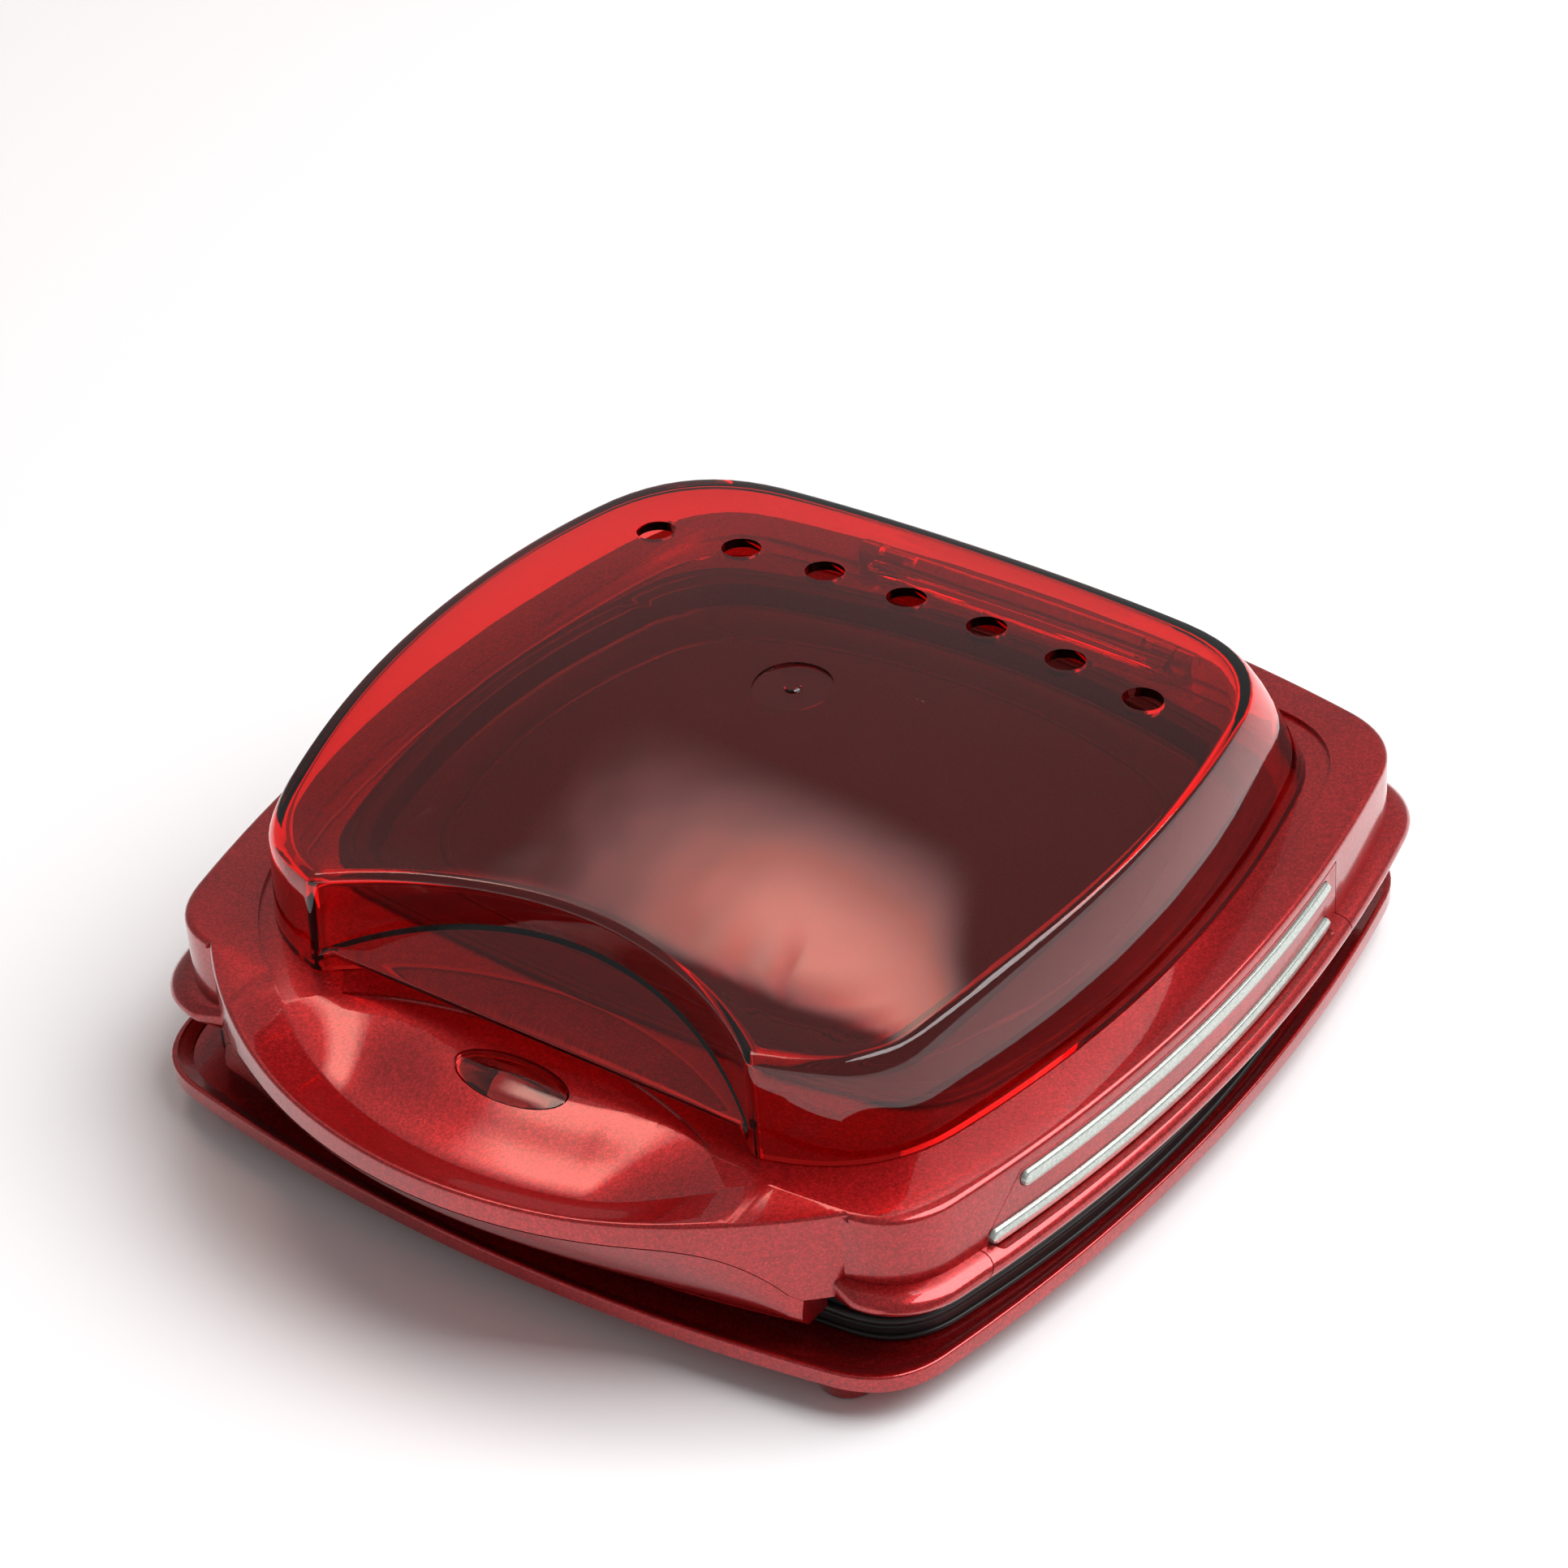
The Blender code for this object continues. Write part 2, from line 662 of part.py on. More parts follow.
def dish_height(x, y):
    """Height of the handle's dished top, which lies above the ledge where there is no dish."""
    angle = abs(math.atan2(x, HANDLE_CENTRE_Y - y))
    across = 1 - smooth_step((angle - DISH_FULL_ANGLE) / (DISH_END_ANGLE - DISH_FULL_ANGLE))
    inwards = HANDLE_RADIUS - math.hypot(x, y - HANDLE_CENTRE_Y)
    lip = min(max(inwards / DISH_LIP_RUN, 0), 1)
    floor = smooth_step(1 - (inwards - DISH_LIP_RUN) / DISH_FLOOR_RUN)
    edge = min(max(1 - inwards / EDGE_ROUND, 0), 1)
    rounding = EDGE_ROUND * (1 - math.sqrt(1 - edge ** 2))
    return HOUSING_TOP + DISH_MARGIN - across * (RECESS_DEPTH + DISH_DEPTH * lip * floor) - rounding


def handle_top(x, y):
    """Height of the finished surface between the handle's front edge and the bun cover."""
    return min(dish_height(x, y), HOUSING_TOP - RECESS_DEPTH)


def spread(half_width, count=HANDLE_STEPS):
    return [half_width * (2 * i / count - 1) for i in range(count + 1)]


def handle_mesh():
    """The crescent's solid, up to the ledge."""
    def depth(x, share):
        back = housing_front(x) + HANDLE_BACK_OVERLAP
        return back + (min(handle_front(x), back - HANDLE_TOP_STEP) - back) * share
    return grid_block(spread(HANDLE_HALF_WIDTH), depth, lambda x, y: band_bottom(x),
                      lambda x, y: HOUSING_TOP - HANDLE_TOP_STEP)


def handle_hollow():
    """The space inside the crescent, open below, under an even top wall."""
    def depth(x, share):
        back = housing_front(x) - GAP
        return back + (handle_front(x, HANDLE_RADIUS - SHELL_WALL) - back) * share
    return grid_block(spread(handle_end() - HOLLOW_END_INSET, HANDLE_STEPS - 2), depth,
                      lambda x, y: HOUSING_BOTTOM - OVERRUN,
                      lambda x, y: handle_top(x, y) - SHELL_WALL, HOLLOW_DEPTH_SHARES)


def dish_cutter():
    """What the dish takes off the top of the handle and the ledge, in rows round the handle."""
    inwards = [DISH_LIP_RUN + DISH_FLOOR_RUN * share for share in DISH_FLOOR_SHARES]
    inwards += [DISH_LIP_RUN, (DISH_LIP_RUN + EDGE_ROUND) / 2]
    inwards += [EDGE_ROUND * share for share in DISH_EDGE_SHARES]
    angles = [DISH_CUT_ANGLE * (2 * i / DISH_COLUMNS - 1) for i in range(DISH_COLUMNS + 1)]
    top = HOUSING_TOP + 2 * OVERRUN
    rows = []
    for angle in angles:
        row = []
        for depth in inwards + [-OVERRUN]:
            radius = HANDLE_RADIUS - depth
            x, y = radius * math.sin(angle), HANDLE_CENTRE_Y - radius * math.cos(angle)
            row.append(Vector((x, y, dish_height(x, y) - max(-depth, 0))))
        ends = [Vector((row[-1].x, row[-1].y, top)), Vector((row[0].x, row[0].y, top))]
        rows.append(row + ends)
    return loft(rows)


def groove_cutter():
    """A crescent groove in the dish, behind the lens."""
    centre_y = NOTCH_APEX_Y - GROOVE_OFFSET - GROOVE_RADIUS
    count = HANDLE_STEPS // 2
    rows = []
    for i in range(count + 1):
        share = 2 * i / count - 1
        angle = GROOVE_HALF_ANGLE * share
        half = GROOVE_WIDTH / 2 * max(math.sqrt(1 - share ** 2), GROOVE_TIP_SHARE)
        low, high = [], []
        for radius in (GROOVE_RADIUS - half, GROOVE_RADIUS + half):
            x, y = radius * math.sin(angle), centre_y + radius * math.cos(angle)
            low.append(Vector((x, y, handle_top(x, y) - GROOVE_DEPTH)))
            high.append(Vector((x, y, HOUSING_TOP + OVERRUN)))
        rows.append(low + high[::-1])
    return loft(rows)


def notch_mesh(radius, low, high):
    """The round space in front of the cover's concave front wall."""
    centre = (0, NOTCH_APEX_Y - NOTCH_RADIUS)
    return cone(radius, radius, low, high, centre, NOTCH_STEPS)


def recess_mesh():
    """The shallow seat of the cover, which runs forward into the handle's dish."""
    plan = dict(COVER, side=COVER["side"] + RECESS_SIDE_MARGIN, back=COVER["back"] + RECESS_SIDE_MARGIN,
                front=-RECESS_FRONT_SETBACK, front_bow=RECESS_FRONT_BOW)
    return loft([ring(plan, HOUSING_TOP - RECESS_DEPTH), ring(plan, HOUSING_TOP + OVERRUN)])


def side_x(y, grow):
    """Where the housing's right wall stands at y."""
    low = HOUSING_FRONT_CORNER_Y - grow
    high = HOUSING_BACK_CORNER_Y + grow
    t = (y - low) / (high - low)
    return HOUSING_CORNER_X + grow + 4 * SIDE_BOW * t * (1 - t)


def wall_block(side, y_ends, profile, steps):
    """A block along a side wall. The profile lists (grow, z) round its section, and y_ends
    gives its two ends at a height."""
    rows = []
    for i in range(steps + 1):
        row = []
        for grow, z in profile:
            start, end = y_ends(z)
            y = start + (end - start) * i / steps
            row.append(Vector((side * side_x(y, grow), y, z)))
        rows.append(row)
    return loft(rows)


def panel_ends(z, margin=0):
    share = (z - HOUSING_BOTTOM) / (HOUSING_TOP - PANEL_TOP_DROP - HOUSING_BOTTOM)
    front = PANEL_FRONT_LOW_Y + (PANEL_FRONT_HIGH_Y - PANEL_FRONT_LOW_Y) * share
    return front - margin, PANEL_BACK_Y + margin


def panel_mesh(side):
    top = HOUSING_TOP - PANEL_TOP_DROP
    outer = [(BEAD_PROUD * share, z) for share, z in bead_profile()] + [(0, top)]
    return wall_block(side, panel_ends, outer + [(-PANEL_THICK, top), (-PANEL_THICK, HOUSING_BOTTOM)],
                      PANEL_STEPS)


def panel_pocket(side):
    """The seat of a side panel, cut through the bead and part of the wall."""
    low, high = HOUSING_BOTTOM - OVERRUN, HOUSING_TOP - PANEL_TOP_DROP + GAP
    inner, outer = -PANEL_THICK - GAP, BEAD_PROUD + OVERRUN
    section = [(inner, low), (outer, low), (outer, high), (inner, high)]
    return wall_block(side, lambda z: panel_ends(z, GAP), section, PANEL_STEPS)


def strip_mesh(side, drop, front_y, margin=0, inner=0, outer=0):
    """A trim strip with rounded ends, laid along the wall."""
    half = STRIP_HEIGHT / 2 + margin
    z = HOUSING_TOP - drop
    stations = []
    for i in range(STRIP_END_STEPS):
        angle = math.pi / 2 * (i + STRIP_END_SHARE) / STRIP_END_STEPS
        stations.append((front_y - margin + half * (1 - math.cos(angle)), half * math.sin(angle)))
    back = [(STRIP_BACK_Y + front_y - y, h) for y, h in reversed(stations)]
    for i in range(STRIP_STEPS + 1):
        y = front_y - margin + half + (STRIP_BACK_Y + 2 * margin - front_y - 2 * half) * i / STRIP_STEPS
        stations.append((y, half))
    stations += back
    low, high = -STRIP_THICK + STRIP_PROUD - inner, STRIP_PROUD + outer
    flank = low + (high - low) * (1 - STRIP_FLANK_SHARE)
    rows = []
    for y, h in stations:
        face = h * STRIP_FACE_SHARE
        section = ((low, -h), (flank, -h), (high, -face), (high, face), (flank, h), (low, h))
        rows.append([Vector((side * side_x(y, grow), y, z + up)) for grow, up in section])
    return loft(rows)


def lid_screw_places():
    return [(x, y) for y in (LID_SCREW_FRONT_Y, LID_SCREW_BACK_Y) for x in (-LID_SCREW_X, LID_SCREW_X)]


def tower_span(side):
    inner = LID_EAR_X + LID_EAR_WIDTH + GAP
    return sorted((side * inner, side * (inner + LID_TOWER_WIDTH)))


def oval(margin, height, share=1, turn=0.5):
    """A ring of the lens's oval outline, at a rule of (x, y)."""
    points = []
    for i in range(TURNED_STEPS):
        angle = 2 * math.pi * (i + turn) / TURNED_STEPS
        x = (LENS_LENGTH / 2 + margin) * share * math.cos(angle)
        y = LENS_Y + (LENS_WIDTH / 2 + margin) * share * math.sin(angle)
        points.append(Vector((x, y, height(x, y))))
    return points


def lens_mesh():
    """An oval lens that follows the dish, slightly domed."""
    def sunk(drop):
        return lambda x, y: handle_top(x, y) - LENS_SINK - drop
    thick, dome = LENS_THICK, -LENS_DOME
    return loft([oval(0, sunk(thick), LENS_INNER_SHARE), oval(0, sunk(thick)), oval(0, sunk(0)),
                 oval(0, sunk(dome), LENS_DOME_SHARE), oval(0, sunk(dome), LENS_INNER_SHARE)])


def lens_seat():
    """The lens's pocket, a clearance larger all round."""
    def floor(x, y):
        return handle_top(x, y) - LENS_SINK - LENS_THICK - GAP
    return loft([oval(GAP, floor, LENS_INNER_SHARE), oval(GAP, floor),
                 oval(GAP, lambda x, y: HOUSING_TOP + OVERRUN)])


def lens_window():
    return loft([oval(-LENS_LEDGE, lambda x, y: LENS_BOSS_BOTTOM - OVERRUN, turn=0),
                 oval(-LENS_LEDGE, lambda x, y: HOUSING_TOP, turn=0)])


def lens_boss():
    """Thick ground under the lens, between the handle and the ledge."""
    half_x, half_y = LENS_LENGTH / 2 + LENS_BOSS_MARGIN, LENS_WIDTH / 2 + LENS_BOSS_MARGIN
    return block((-half_x, LENS_Y - half_y, LENS_BOSS_BOTTOM),
                 (half_x, LENS_Y + half_y, HOUSING_TOP - 2 * HANDLE_TOP_STEP))


def through_back_wall(mesh):
    """Turns an upright mesh made at the origin so that its top points out of the back wall."""
    share = CORD_X / HOUSING_CORNER_X
    y = HOUSING_BACK_CORNER_Y + BACK_BOW * (1 - share ** 2)
    slope = 2 * BACK_BOW * share / HOUSING_CORNER_X
    turn = Matrix.Rotation(-math.atan(slope), 4, "Z") @ Matrix.Rotation(-math.pi / 2, 4, "X")
    mesh.transform(Matrix.Translation((CORD_X, y, CORD_Z)) @ turn)
    return mesh


def upper_shell(lid):
    made = piece("upper_shell", loft(housing_rings(), closed=True), red_paint(), lid)
    join(made, handle_mesh(), "handle")
    cut(made, handle_hollow(), "handle_hollow")
    join(made, lens_boss(), "lens_boss")
    cut(made, recess_mesh(), "recess")
    cut(made, dish_cutter(), "dish")
    cut(made, groove_cutter(), "groove")
    cut(made, lens_seat(), "lens_seat")
    cut(made, lens_window(), "lens_window")
    for side, label in ((-1, "left"), (1, "right")):
        cut(made, panel_pocket(side), f"pocket_{label}")
    bosses = [cone(BOSS_RADIUS, BOSS_RADIUS, PARTING + BEZEL_FLOOR + 2 * GAP,
                   HOUSING_TOP - LEDGE_THICK / 2, place, PIN_STEPS) for place in lid_screw_places()]
    join(made, joined(bosses), "bosses")
    bores = [cone(SCREW_RADIUS + GAP, SCREW_RADIUS + GAP, PARTING, PARTING + LID_SCREW_LENGTH + BEZEL_FLOOR,
                  place, PIN_STEPS) for place in lid_screw_places()]
    cut(made, joined(bores), "screw_bores")
    lid_hinge_in_shell(made)
    cover_hinge_in_shell(made)
    hole = cone(BUSHING_RADIUS + GAP, BUSHING_RADIUS + GAP, -SHELL_WALL - OVERRUN, OVERRUN)
    cut(made, through_back_wall(hole), "cord_hole")
    return made


def lid_hinge_in_shell(shell):
    """Notches for the base's towers, ears beside them, and the pins' bores."""
    for side, label in ((-1, "left"), (1, "right")):
        start, end = tower_span(side)
        reach = LID_BARREL_RADIUS + LID_NOTCH_MARGIN
        notch = block((start - LID_NOTCH_MARGIN, LID_AXIS_Y - reach, HOUSING_BOTTOM - OVERRUN),
                      (end + LID_NOTCH_MARGIN, HOUSING_BACK_Y + BEAD_PROUD + OVERRUN,
                       LID_AXIS_Z + reach))
        cut(shell, notch, f"tower_notch_{label}")
        ear_start, ear_end = sorted((side * LID_EAR_X, side * (LID_EAR_X + LID_EAR_WIDTH)))
        ear = lug(ear_start, ear_end, LID_AXIS_Y, LID_AXIS_Z, LID_BARREL_RADIUS,
                  HOUSING_TOP - LEDGE_THICK / 2)
        join(shell, ear, f"ear_{label}")
        bore = rod(LID_PIN_RADIUS + PIN_CLEARANCE, ear_start - OVERRUN, ear_end + OVERRUN,
                   LID_AXIS_Y, LID_AXIS_Z)
        cut(shell, bore, f"ear_bore_{label}")


def cover_hinge_in_shell(shell):
    """Two posts on the back ledge that hold the cover's pins."""
    for side, label in ((-1, "left"), (1, "right")):
        inner = COVER_BARREL_HALF_WIDTH + GAP
        start, end = sorted((side * inner, side * (inner + COVER_BRACKET_WIDTH)))
        post = lug(start, end, COVER_AXIS_Y, COVER_AXIS_Z, COVER_BARREL_RADIUS,
                   HOUSING_TOP - LEDGE_THICK / 2)
        join(shell, post, f"post_{label}")
        bore = rod(COVER_PIN_RADIUS + PIN_CLEARANCE, start - OVERRUN, end + OVERRUN,
                   COVER_AXIS_Y, COVER_AXIS_Z)
        cut(shell, bore, f"post_bore_{label}")


def handle_underside(lid):
    """The lower half of the handle: a curved face from the band down to the grip's lip."""
    rows = []
    end_x = handle_end() - LIP_END_INSET
    closed_from = end_x - SHELL_WALL
    stations = [x for x in spread(end_x) if abs(x) < closed_from]
    stations = [-end_x, -closed_from, *stations, closed_from, end_x]
    for x in stations:
        share = (x / end_x) ** 2
        top_y, top_z = handle_front(x), band_bottom(x) - GAP
        wall_y = housing_front(x) - GAP
        back = wall_y + BEZEL_INSET
        low_y = housing_front(0) - LIP_FRONT_REACH + LIP_BOW * share
        mid_y, mid_z = (top_y + low_y) / 2 - LIP_BULGE, (top_z + LIP_BOTTOM) / 2 - LIP_BULGE
        low_z, seat_z = LIP_BOTTOM + LIP_WALL, HOUSING_BOTTOM - 2 * GAP
        section = [(top_y, top_z), (mid_y, mid_z), (low_y, LIP_BOTTOM), (back, LIP_BOTTOM)]
        if abs(x) < closed_from:
            section += [(back, low_z), (low_y + LIP_WALL, low_z), (mid_y + LIP_WALL, mid_z),
                        (top_y + SHELL_WALL, top_z)]
        else:
            end_y = wall_y - LIP_END_SETBACK
            section += [(back, seat_z), (end_y, seat_z), (end_y, top_z), (top_y + SHELL_WALL, top_z)]
        rows.append([Vector((x, y, z)) for y, z in section])
    return piece("handle_underside", loft(rows), red_paint(), lid)


def side_panels(lid):
    strips = (("upper", UPPER_STRIP_DROP, UPPER_STRIP_FRONT_Y),
              ("lower", LOWER_STRIP_DROP, LOWER_STRIP_FRONT_Y))
    for side, label in ((-1, "left"), (1, "right")):
        panel = piece(f"side_panel_{label}", panel_mesh(side), red_paint(), lid)
        for level, drop, front_y in strips:
            cut(panel, strip_mesh(side, drop, front_y, GAP, GAP, OVERRUN), f"{level}_groove")
            piece(f"trim_strip_{level}_{label}", strip_mesh(side, drop, front_y), silver_trim(), lid)


def indicator(lid):
    piece("indicator_lens", lens_mesh(), clear_red(), lid)
    lamp_z = LENS_BOSS_BOTTOM - GAP - LAMP_RADIUS
    lamp = rod(LAMP_RADIUS, -LAMP_LENGTH / 2, LAMP_LENGTH / 2, LAMP_Y, lamp_z, TURNED_STEPS)
    piece("indicator_lamp", lamp, ceramic(), lid)


# Bun cover

def crown(x, y, drop=0):
    """Height of the crowned top: it falls from its crest and to the sides, and is level in front."""
    half_width = HOUSING_CORNER_X - COVER_SIDE_INSET
    forward = min((CROWN_FALL_START_Y - y) / (CROWN_FALL_START_Y - NOTCH_APEX_Y), 1)
    side = CROWN_SIDE_FALL * (1 - forward ** 2) * (abs(x) / half_width) ** CROWN_SIDE_POWER
    return COVER_CROWN - drop - CROWN_FRONT_FALL * forward ** 2 - side


def cover_ring(wall, lean, edge, z):
    """The dome's outline, set in by its wall, a share of its lean and a share of its edge's round."""
    rounded = wall + COVER_SHOULDER_ROUND * edge
    plan = dict(COVER, side=COVER["side"] - rounded - COVER_SIDE_DRAFT * lean,
                back=COVER["back"] - rounded - COVER_BACK_DRAFT * lean,
                front=COVER["front"] - wall - COVER_FRONT_ROUND * edge - COVER_FRONT_DRAFT * lean,
                rounding=COVER_ROUND + (COVER_CROWN_ROUND - COVER_ROUND) * lean)
    return ring(plan, z)


def cover_solid(wall, bottom):
    """The dome as a solid, set in by a wall thickness. Its walls lean inwards, the back one most."""
    shoulder = COVER_BOTTOM + COVER_SHOULDER
    rings = [cover_ring(wall, 0, 0, bottom), cover_ring(wall, COVER_LEAN_SHARE, 0, shoulder)]
    steps = HOLLOW_ROUND_STEPS if wall else COVER_ROUND_STEPS
    for step in range(1, steps + 1):
        angle = math.pi / 2 * step / steps
        share = math.sin(angle)

        def height(x, y, share=share):
            return shoulder + (crown(x, y, wall) - shoulder) * share
        lean = COVER_LEAN_SHARE + (1 - COVER_LEAN_SHARE) * share
        rings.append(cover_ring(wall, lean, 1 - math.cos(angle), height))
    middle_y = (HOUSING_FRONT_CORNER_Y + HOUSING_BACK_CORNER_Y) / 2
    edge = rings[-1]
    for share in HOLLOW_RING_SHARES if wall else CROWN_RING_SHARES:
        row = []
        for p in edge:
            x, y = p.x * share, middle_y + (p.y - middle_y) * share
            row.append(Vector((x, y, crown(x, y, wall))))
        rings.append(row)
    return loft(rings)


def tab_block():
    """The thumb tab: a sloping plate that fills the front notch from its wall to the chord."""
    root_z = crown(0, NOTCH_APEX_Y) - TAB_ROOT_DROP
    slope = TAB_FALL / TAB_REACH
    front = NOTCH_APEX_Y - TAB_REACH

    def top(x, y):
        return root_z + slope * (y - NOTCH_APEX_Y)

    def depth(x, share):
        back = NOTCH_APEX_Y - NOTCH_RADIUS + math.sqrt(NOTCH_RADIUS ** 2 - x ** 2) + COVER_WALL / 2
        return back + (min(front, back - TAB_THICK) - back) * share
    return grid_block(spread(TAB_HALF_WIDTH, HANDLE_STEPS), depth,
                      lambda x, y: top(x, y) - TAB_THICK, top)


def vent_places():
    """Vent centres on a gentle arc across the back."""
    places = []
    for i in range(VENT_COUNT):
        x = (i - (VENT_COUNT - 1) / 2) * VENT_PITCH
        places.append((x, VENT_ROW_Y - VENT_ROW_RADIUS + math.sqrt(VENT_ROW_RADIUS ** 2 - x ** 2)))
    return places


def cover_back(x):
    """Where the cover's back wall stands at its foot."""
    half_width = HOUSING_CORNER_X - COVER_SIDE_INSET
    high = HOUSING_BACK_CORNER_Y - COVER_BACK_INSET
    return high + COVER_BACK_BOW * (1 - (x / half_width) ** 2)


def bun_cover(hinge):
    low, high = COVER_BOTTOM - OVERRUN, COVER_CROWN + OVERRUN
    hollow = cutter("cover_hollow", cover_solid(COVER_WALL, low))
    cut(hollow, notch_mesh(NOTCH_RADIUS + COVER_WALL, low - OVERRUN, high), "notch")
    made = piece("bun_cover", cover_solid(0, COVER_BOTTOM), clear_red(), hinge)
    cut(made, notch_mesh(NOTCH_RADIUS, low, high), "notch")
    cover_barrel(made)
    cut(made, hollow, "hollow")
    join(made, tab_block(), "thumb_tab")
    floor = COVER_CROWN - COVER_SHOULDER
    vents = [cone(VENT_RADIUS, VENT_RADIUS, floor, high, place, VENT_STEPS) for place in vent_places()]
    cut(made, joined(vents), "vents")
    top = crown(0, GATE_Y)
    cut(made, cone(GATE_RADIUS, GATE_RADIUS + GATE_DEPTH, top - GATE_DEPTH, top + OVERRUN, (0, GATE_Y)),
        "gate_dimple")
    return made


def cover_barrel(cover):
    """The hinge barrel behind the cover's foot, its web, and its bores."""
    half = COVER_BARREL_HALF_WIDTH
    barrel = cutter("cover_barrel", rod(COVER_BARREL_RADIUS, -half, half, COVER_AXIS_Y, COVER_AXIS_Z))
    web = block((-half + GAP, cover_back(half) - COVER_WALL - COVER_WALL / 2, COVER_AXIS_Z - COVER_WALL / 2),
                (half - GAP, COVER_AXIS_Y, COVER_AXIS_Z + COVER_WALL / 2))
    join(cover, web, "web")
    join(cover, barrel, "barrel")
    for side, label in ((-1, "left"), (1, "right")):
        reach = COVER_PIN_LENGTH - COVER_BRACKET_WIDTH + OVERRUN
        start, end = sorted((side * (half - reach), side * (half + OVERRUN)))
        bore = rod(COVER_PIN_RADIUS + PIN_CLEARANCE, start, end, COVER_AXIS_Y, COVER_AXIS_Z)
        cut(cover, bore, f"bore_{label}")


def cover_pins(lid):
    for side, label in ((-1, "left"), (1, "right")):
        outer = COVER_BARREL_HALF_WIDTH + COVER_BRACKET_WIDTH
        start, end = sorted((side * (outer - COVER_PIN_LENGTH), side * outer))
        pin = rod(COVER_PIN_RADIUS, start, end, COVER_AXIS_Y, COVER_AXIS_Z)
        piece(f"cover_hinge_pin_{label}", pin, steel(), lid)


# Base

def rim_rings():
    """Section of the base shell, from the skirt's foot over the lip and flange to the body wall."""
    body = -BODY_INSET
    inner = body - BODY_DRAFT - BODY_WALL
    section = ((0, RIM_BOTTOM), (0, RIM_TOP - RIM_LIP / 2), (-RIM_LIP_EDGE, RIM_TOP), (-RIM_LIP, RIM_TOP),
               (-RIM_SLOPE_RUN, FLANGE_TOP + RIM_LIP / 2), (-2 * RIM_SLOPE_RUN, FLANGE_TOP),
               None, (inner, FLANGE_TOP - RIM_WALL), (inner, BODY_BOTTOM),
               (inner + BODY_WALL, BODY_BOTTOM), (body, RIM_BOTTOM),
               (-2 * RIM_WALL, FLANGE_TOP - RIM_WALL), (-RIM_WALL, RIM_BOTTOM))
    seat = [ring(PLATE, z, -SEAT_INSET) for z in (FLANGE_TOP, FLANGE_TOP - RIM_WALL)]
    rings = []
    for place in section:
        rings += [ring(RIM, place[1], place[0])] if place else seat
    return rings


def foot_places():
    return [(x, y) for y in (FOOT_FRONT_Y, FOOT_BACK_Y) for x in (-FOOT_X, FOOT_X)]


def base_screw_places():
    return [(x, y) for y in (BASE_SCREW_FRONT_Y, BASE_SCREW_BACK_Y) for x in (-BASE_SCREW_X, BASE_SCREW_X)]


def base_shell():
    made = piece("base_shell", loft(rim_rings(), closed=True), red_paint())
    feet = [cone(FOOT_BOTTOM_RADIUS, FOOT_TOP_RADIUS, FOOT_BOTTOM, (RIM_BOTTOM + FLANGE_TOP) / 2, place)
            for place in foot_places()]
    join(made, joined(feet), "feet")
    seats = [cone(PAD_RADIUS + GAP, PAD_RADIUS + GAP, -OVERRUN, PAD_HEIGHT + GAP, place)
             for place in foot_places()]
    cut(made, joined(seats), "pad_seats")
    floor = BODY_BOTTOM + BOTTOM_COVER_THICK + 2 * GAP
    bosses = [cone(BOSS_RADIUS, BOSS_RADIUS, floor, (RIM_BOTTOM + FLANGE_TOP) / 2, place, PIN_STEPS)
              for place in base_screw_places()]
    join(made, joined(bosses), "bosses")
    bores = [cone(SCREW_RADIUS + GAP, SCREW_RADIUS + GAP, BODY_BOTTOM, BODY_BOTTOM + BASE_SCREW_LENGTH + GAP,
                  place, PIN_STEPS) for place in base_screw_places()]
    cut(made, joined(bores), "screw_bores")
    for side, label in ((-1, "left"), (1, "right")):
        start, end = tower_span(side)
        tower = lug(start, end, LID_AXIS_Y, LID_AXIS_Z, LID_BARREL_RADIUS,
                    (RIM_BOTTOM + FLANGE_TOP) / 2)
        join(made, tower, f"tower_{label}")
        bore = rod(LID_PIN_RADIUS + PIN_CLEARANCE, start - OVERRUN, end + OVERRUN,
                   LID_AXIS_Y, LID_AXIS_Z)
        cut(made, bore, f"tower_bore_{label}")
    return made


def base_bottom_cover():
    grow = -BODY_INSET - BODY_DRAFT - BODY_WALL - GAP
    low, high = BODY_BOTTOM + GAP, BODY_BOTTOM + GAP + BOTTOM_COVER_THICK
    made = piece("base_bottom_cover", loft([ring(RIM, low, grow), ring(RIM, high, grow)]), black_plastic())
    bores = [cone(SCREW_RADIUS + GAP, SCREW_RADIUS + GAP, low - OVERRUN, high + OVERRUN, place, PIN_STEPS)
             for place in base_screw_places()]
    cut(made, joined(bores), "screw_bores")


def foot_pads():
    names = ("front_left", "front_right", "back_left", "back_right")
    for name, place in zip(names, foot_places()):
        piece(f"foot_pad_{name}", cone(PAD_RADIUS, PAD_RADIUS, 0, PAD_HEIGHT, place), rubber())


def lid_pins():
    for side, label in ((-1, "left"), (1, "right")):
        tower = tower_span(side)
        start, end = sorted((side * LID_EAR_X, max(tower, key=abs)))
        pin = rod(LID_PIN_RADIUS, start, end, LID_AXIS_Y, LID_AXIS_Z)
        piece(f"lid_hinge_pin_{label}", pin, steel())


def screw(name, place, low, length, parent=None):
    """A pan head screw that points up, its head's underside at low."""
    x, y = place
    head = low - SCREW_HEAD_HEIGHT
    radii = ((SCREW_HEAD_RADIUS * SCREW_HEAD_TOP_SHARE, head), (SCREW_HEAD_RADIUS, low),
             (SCREW_RADIUS, low), (SCREW_RADIUS, low + length))
    piece(name, loft([circle(radius, z, SCREW_STEPS, (x, y)) for radius, z in radii]), steel(), parent)


# Frames and cooking plates

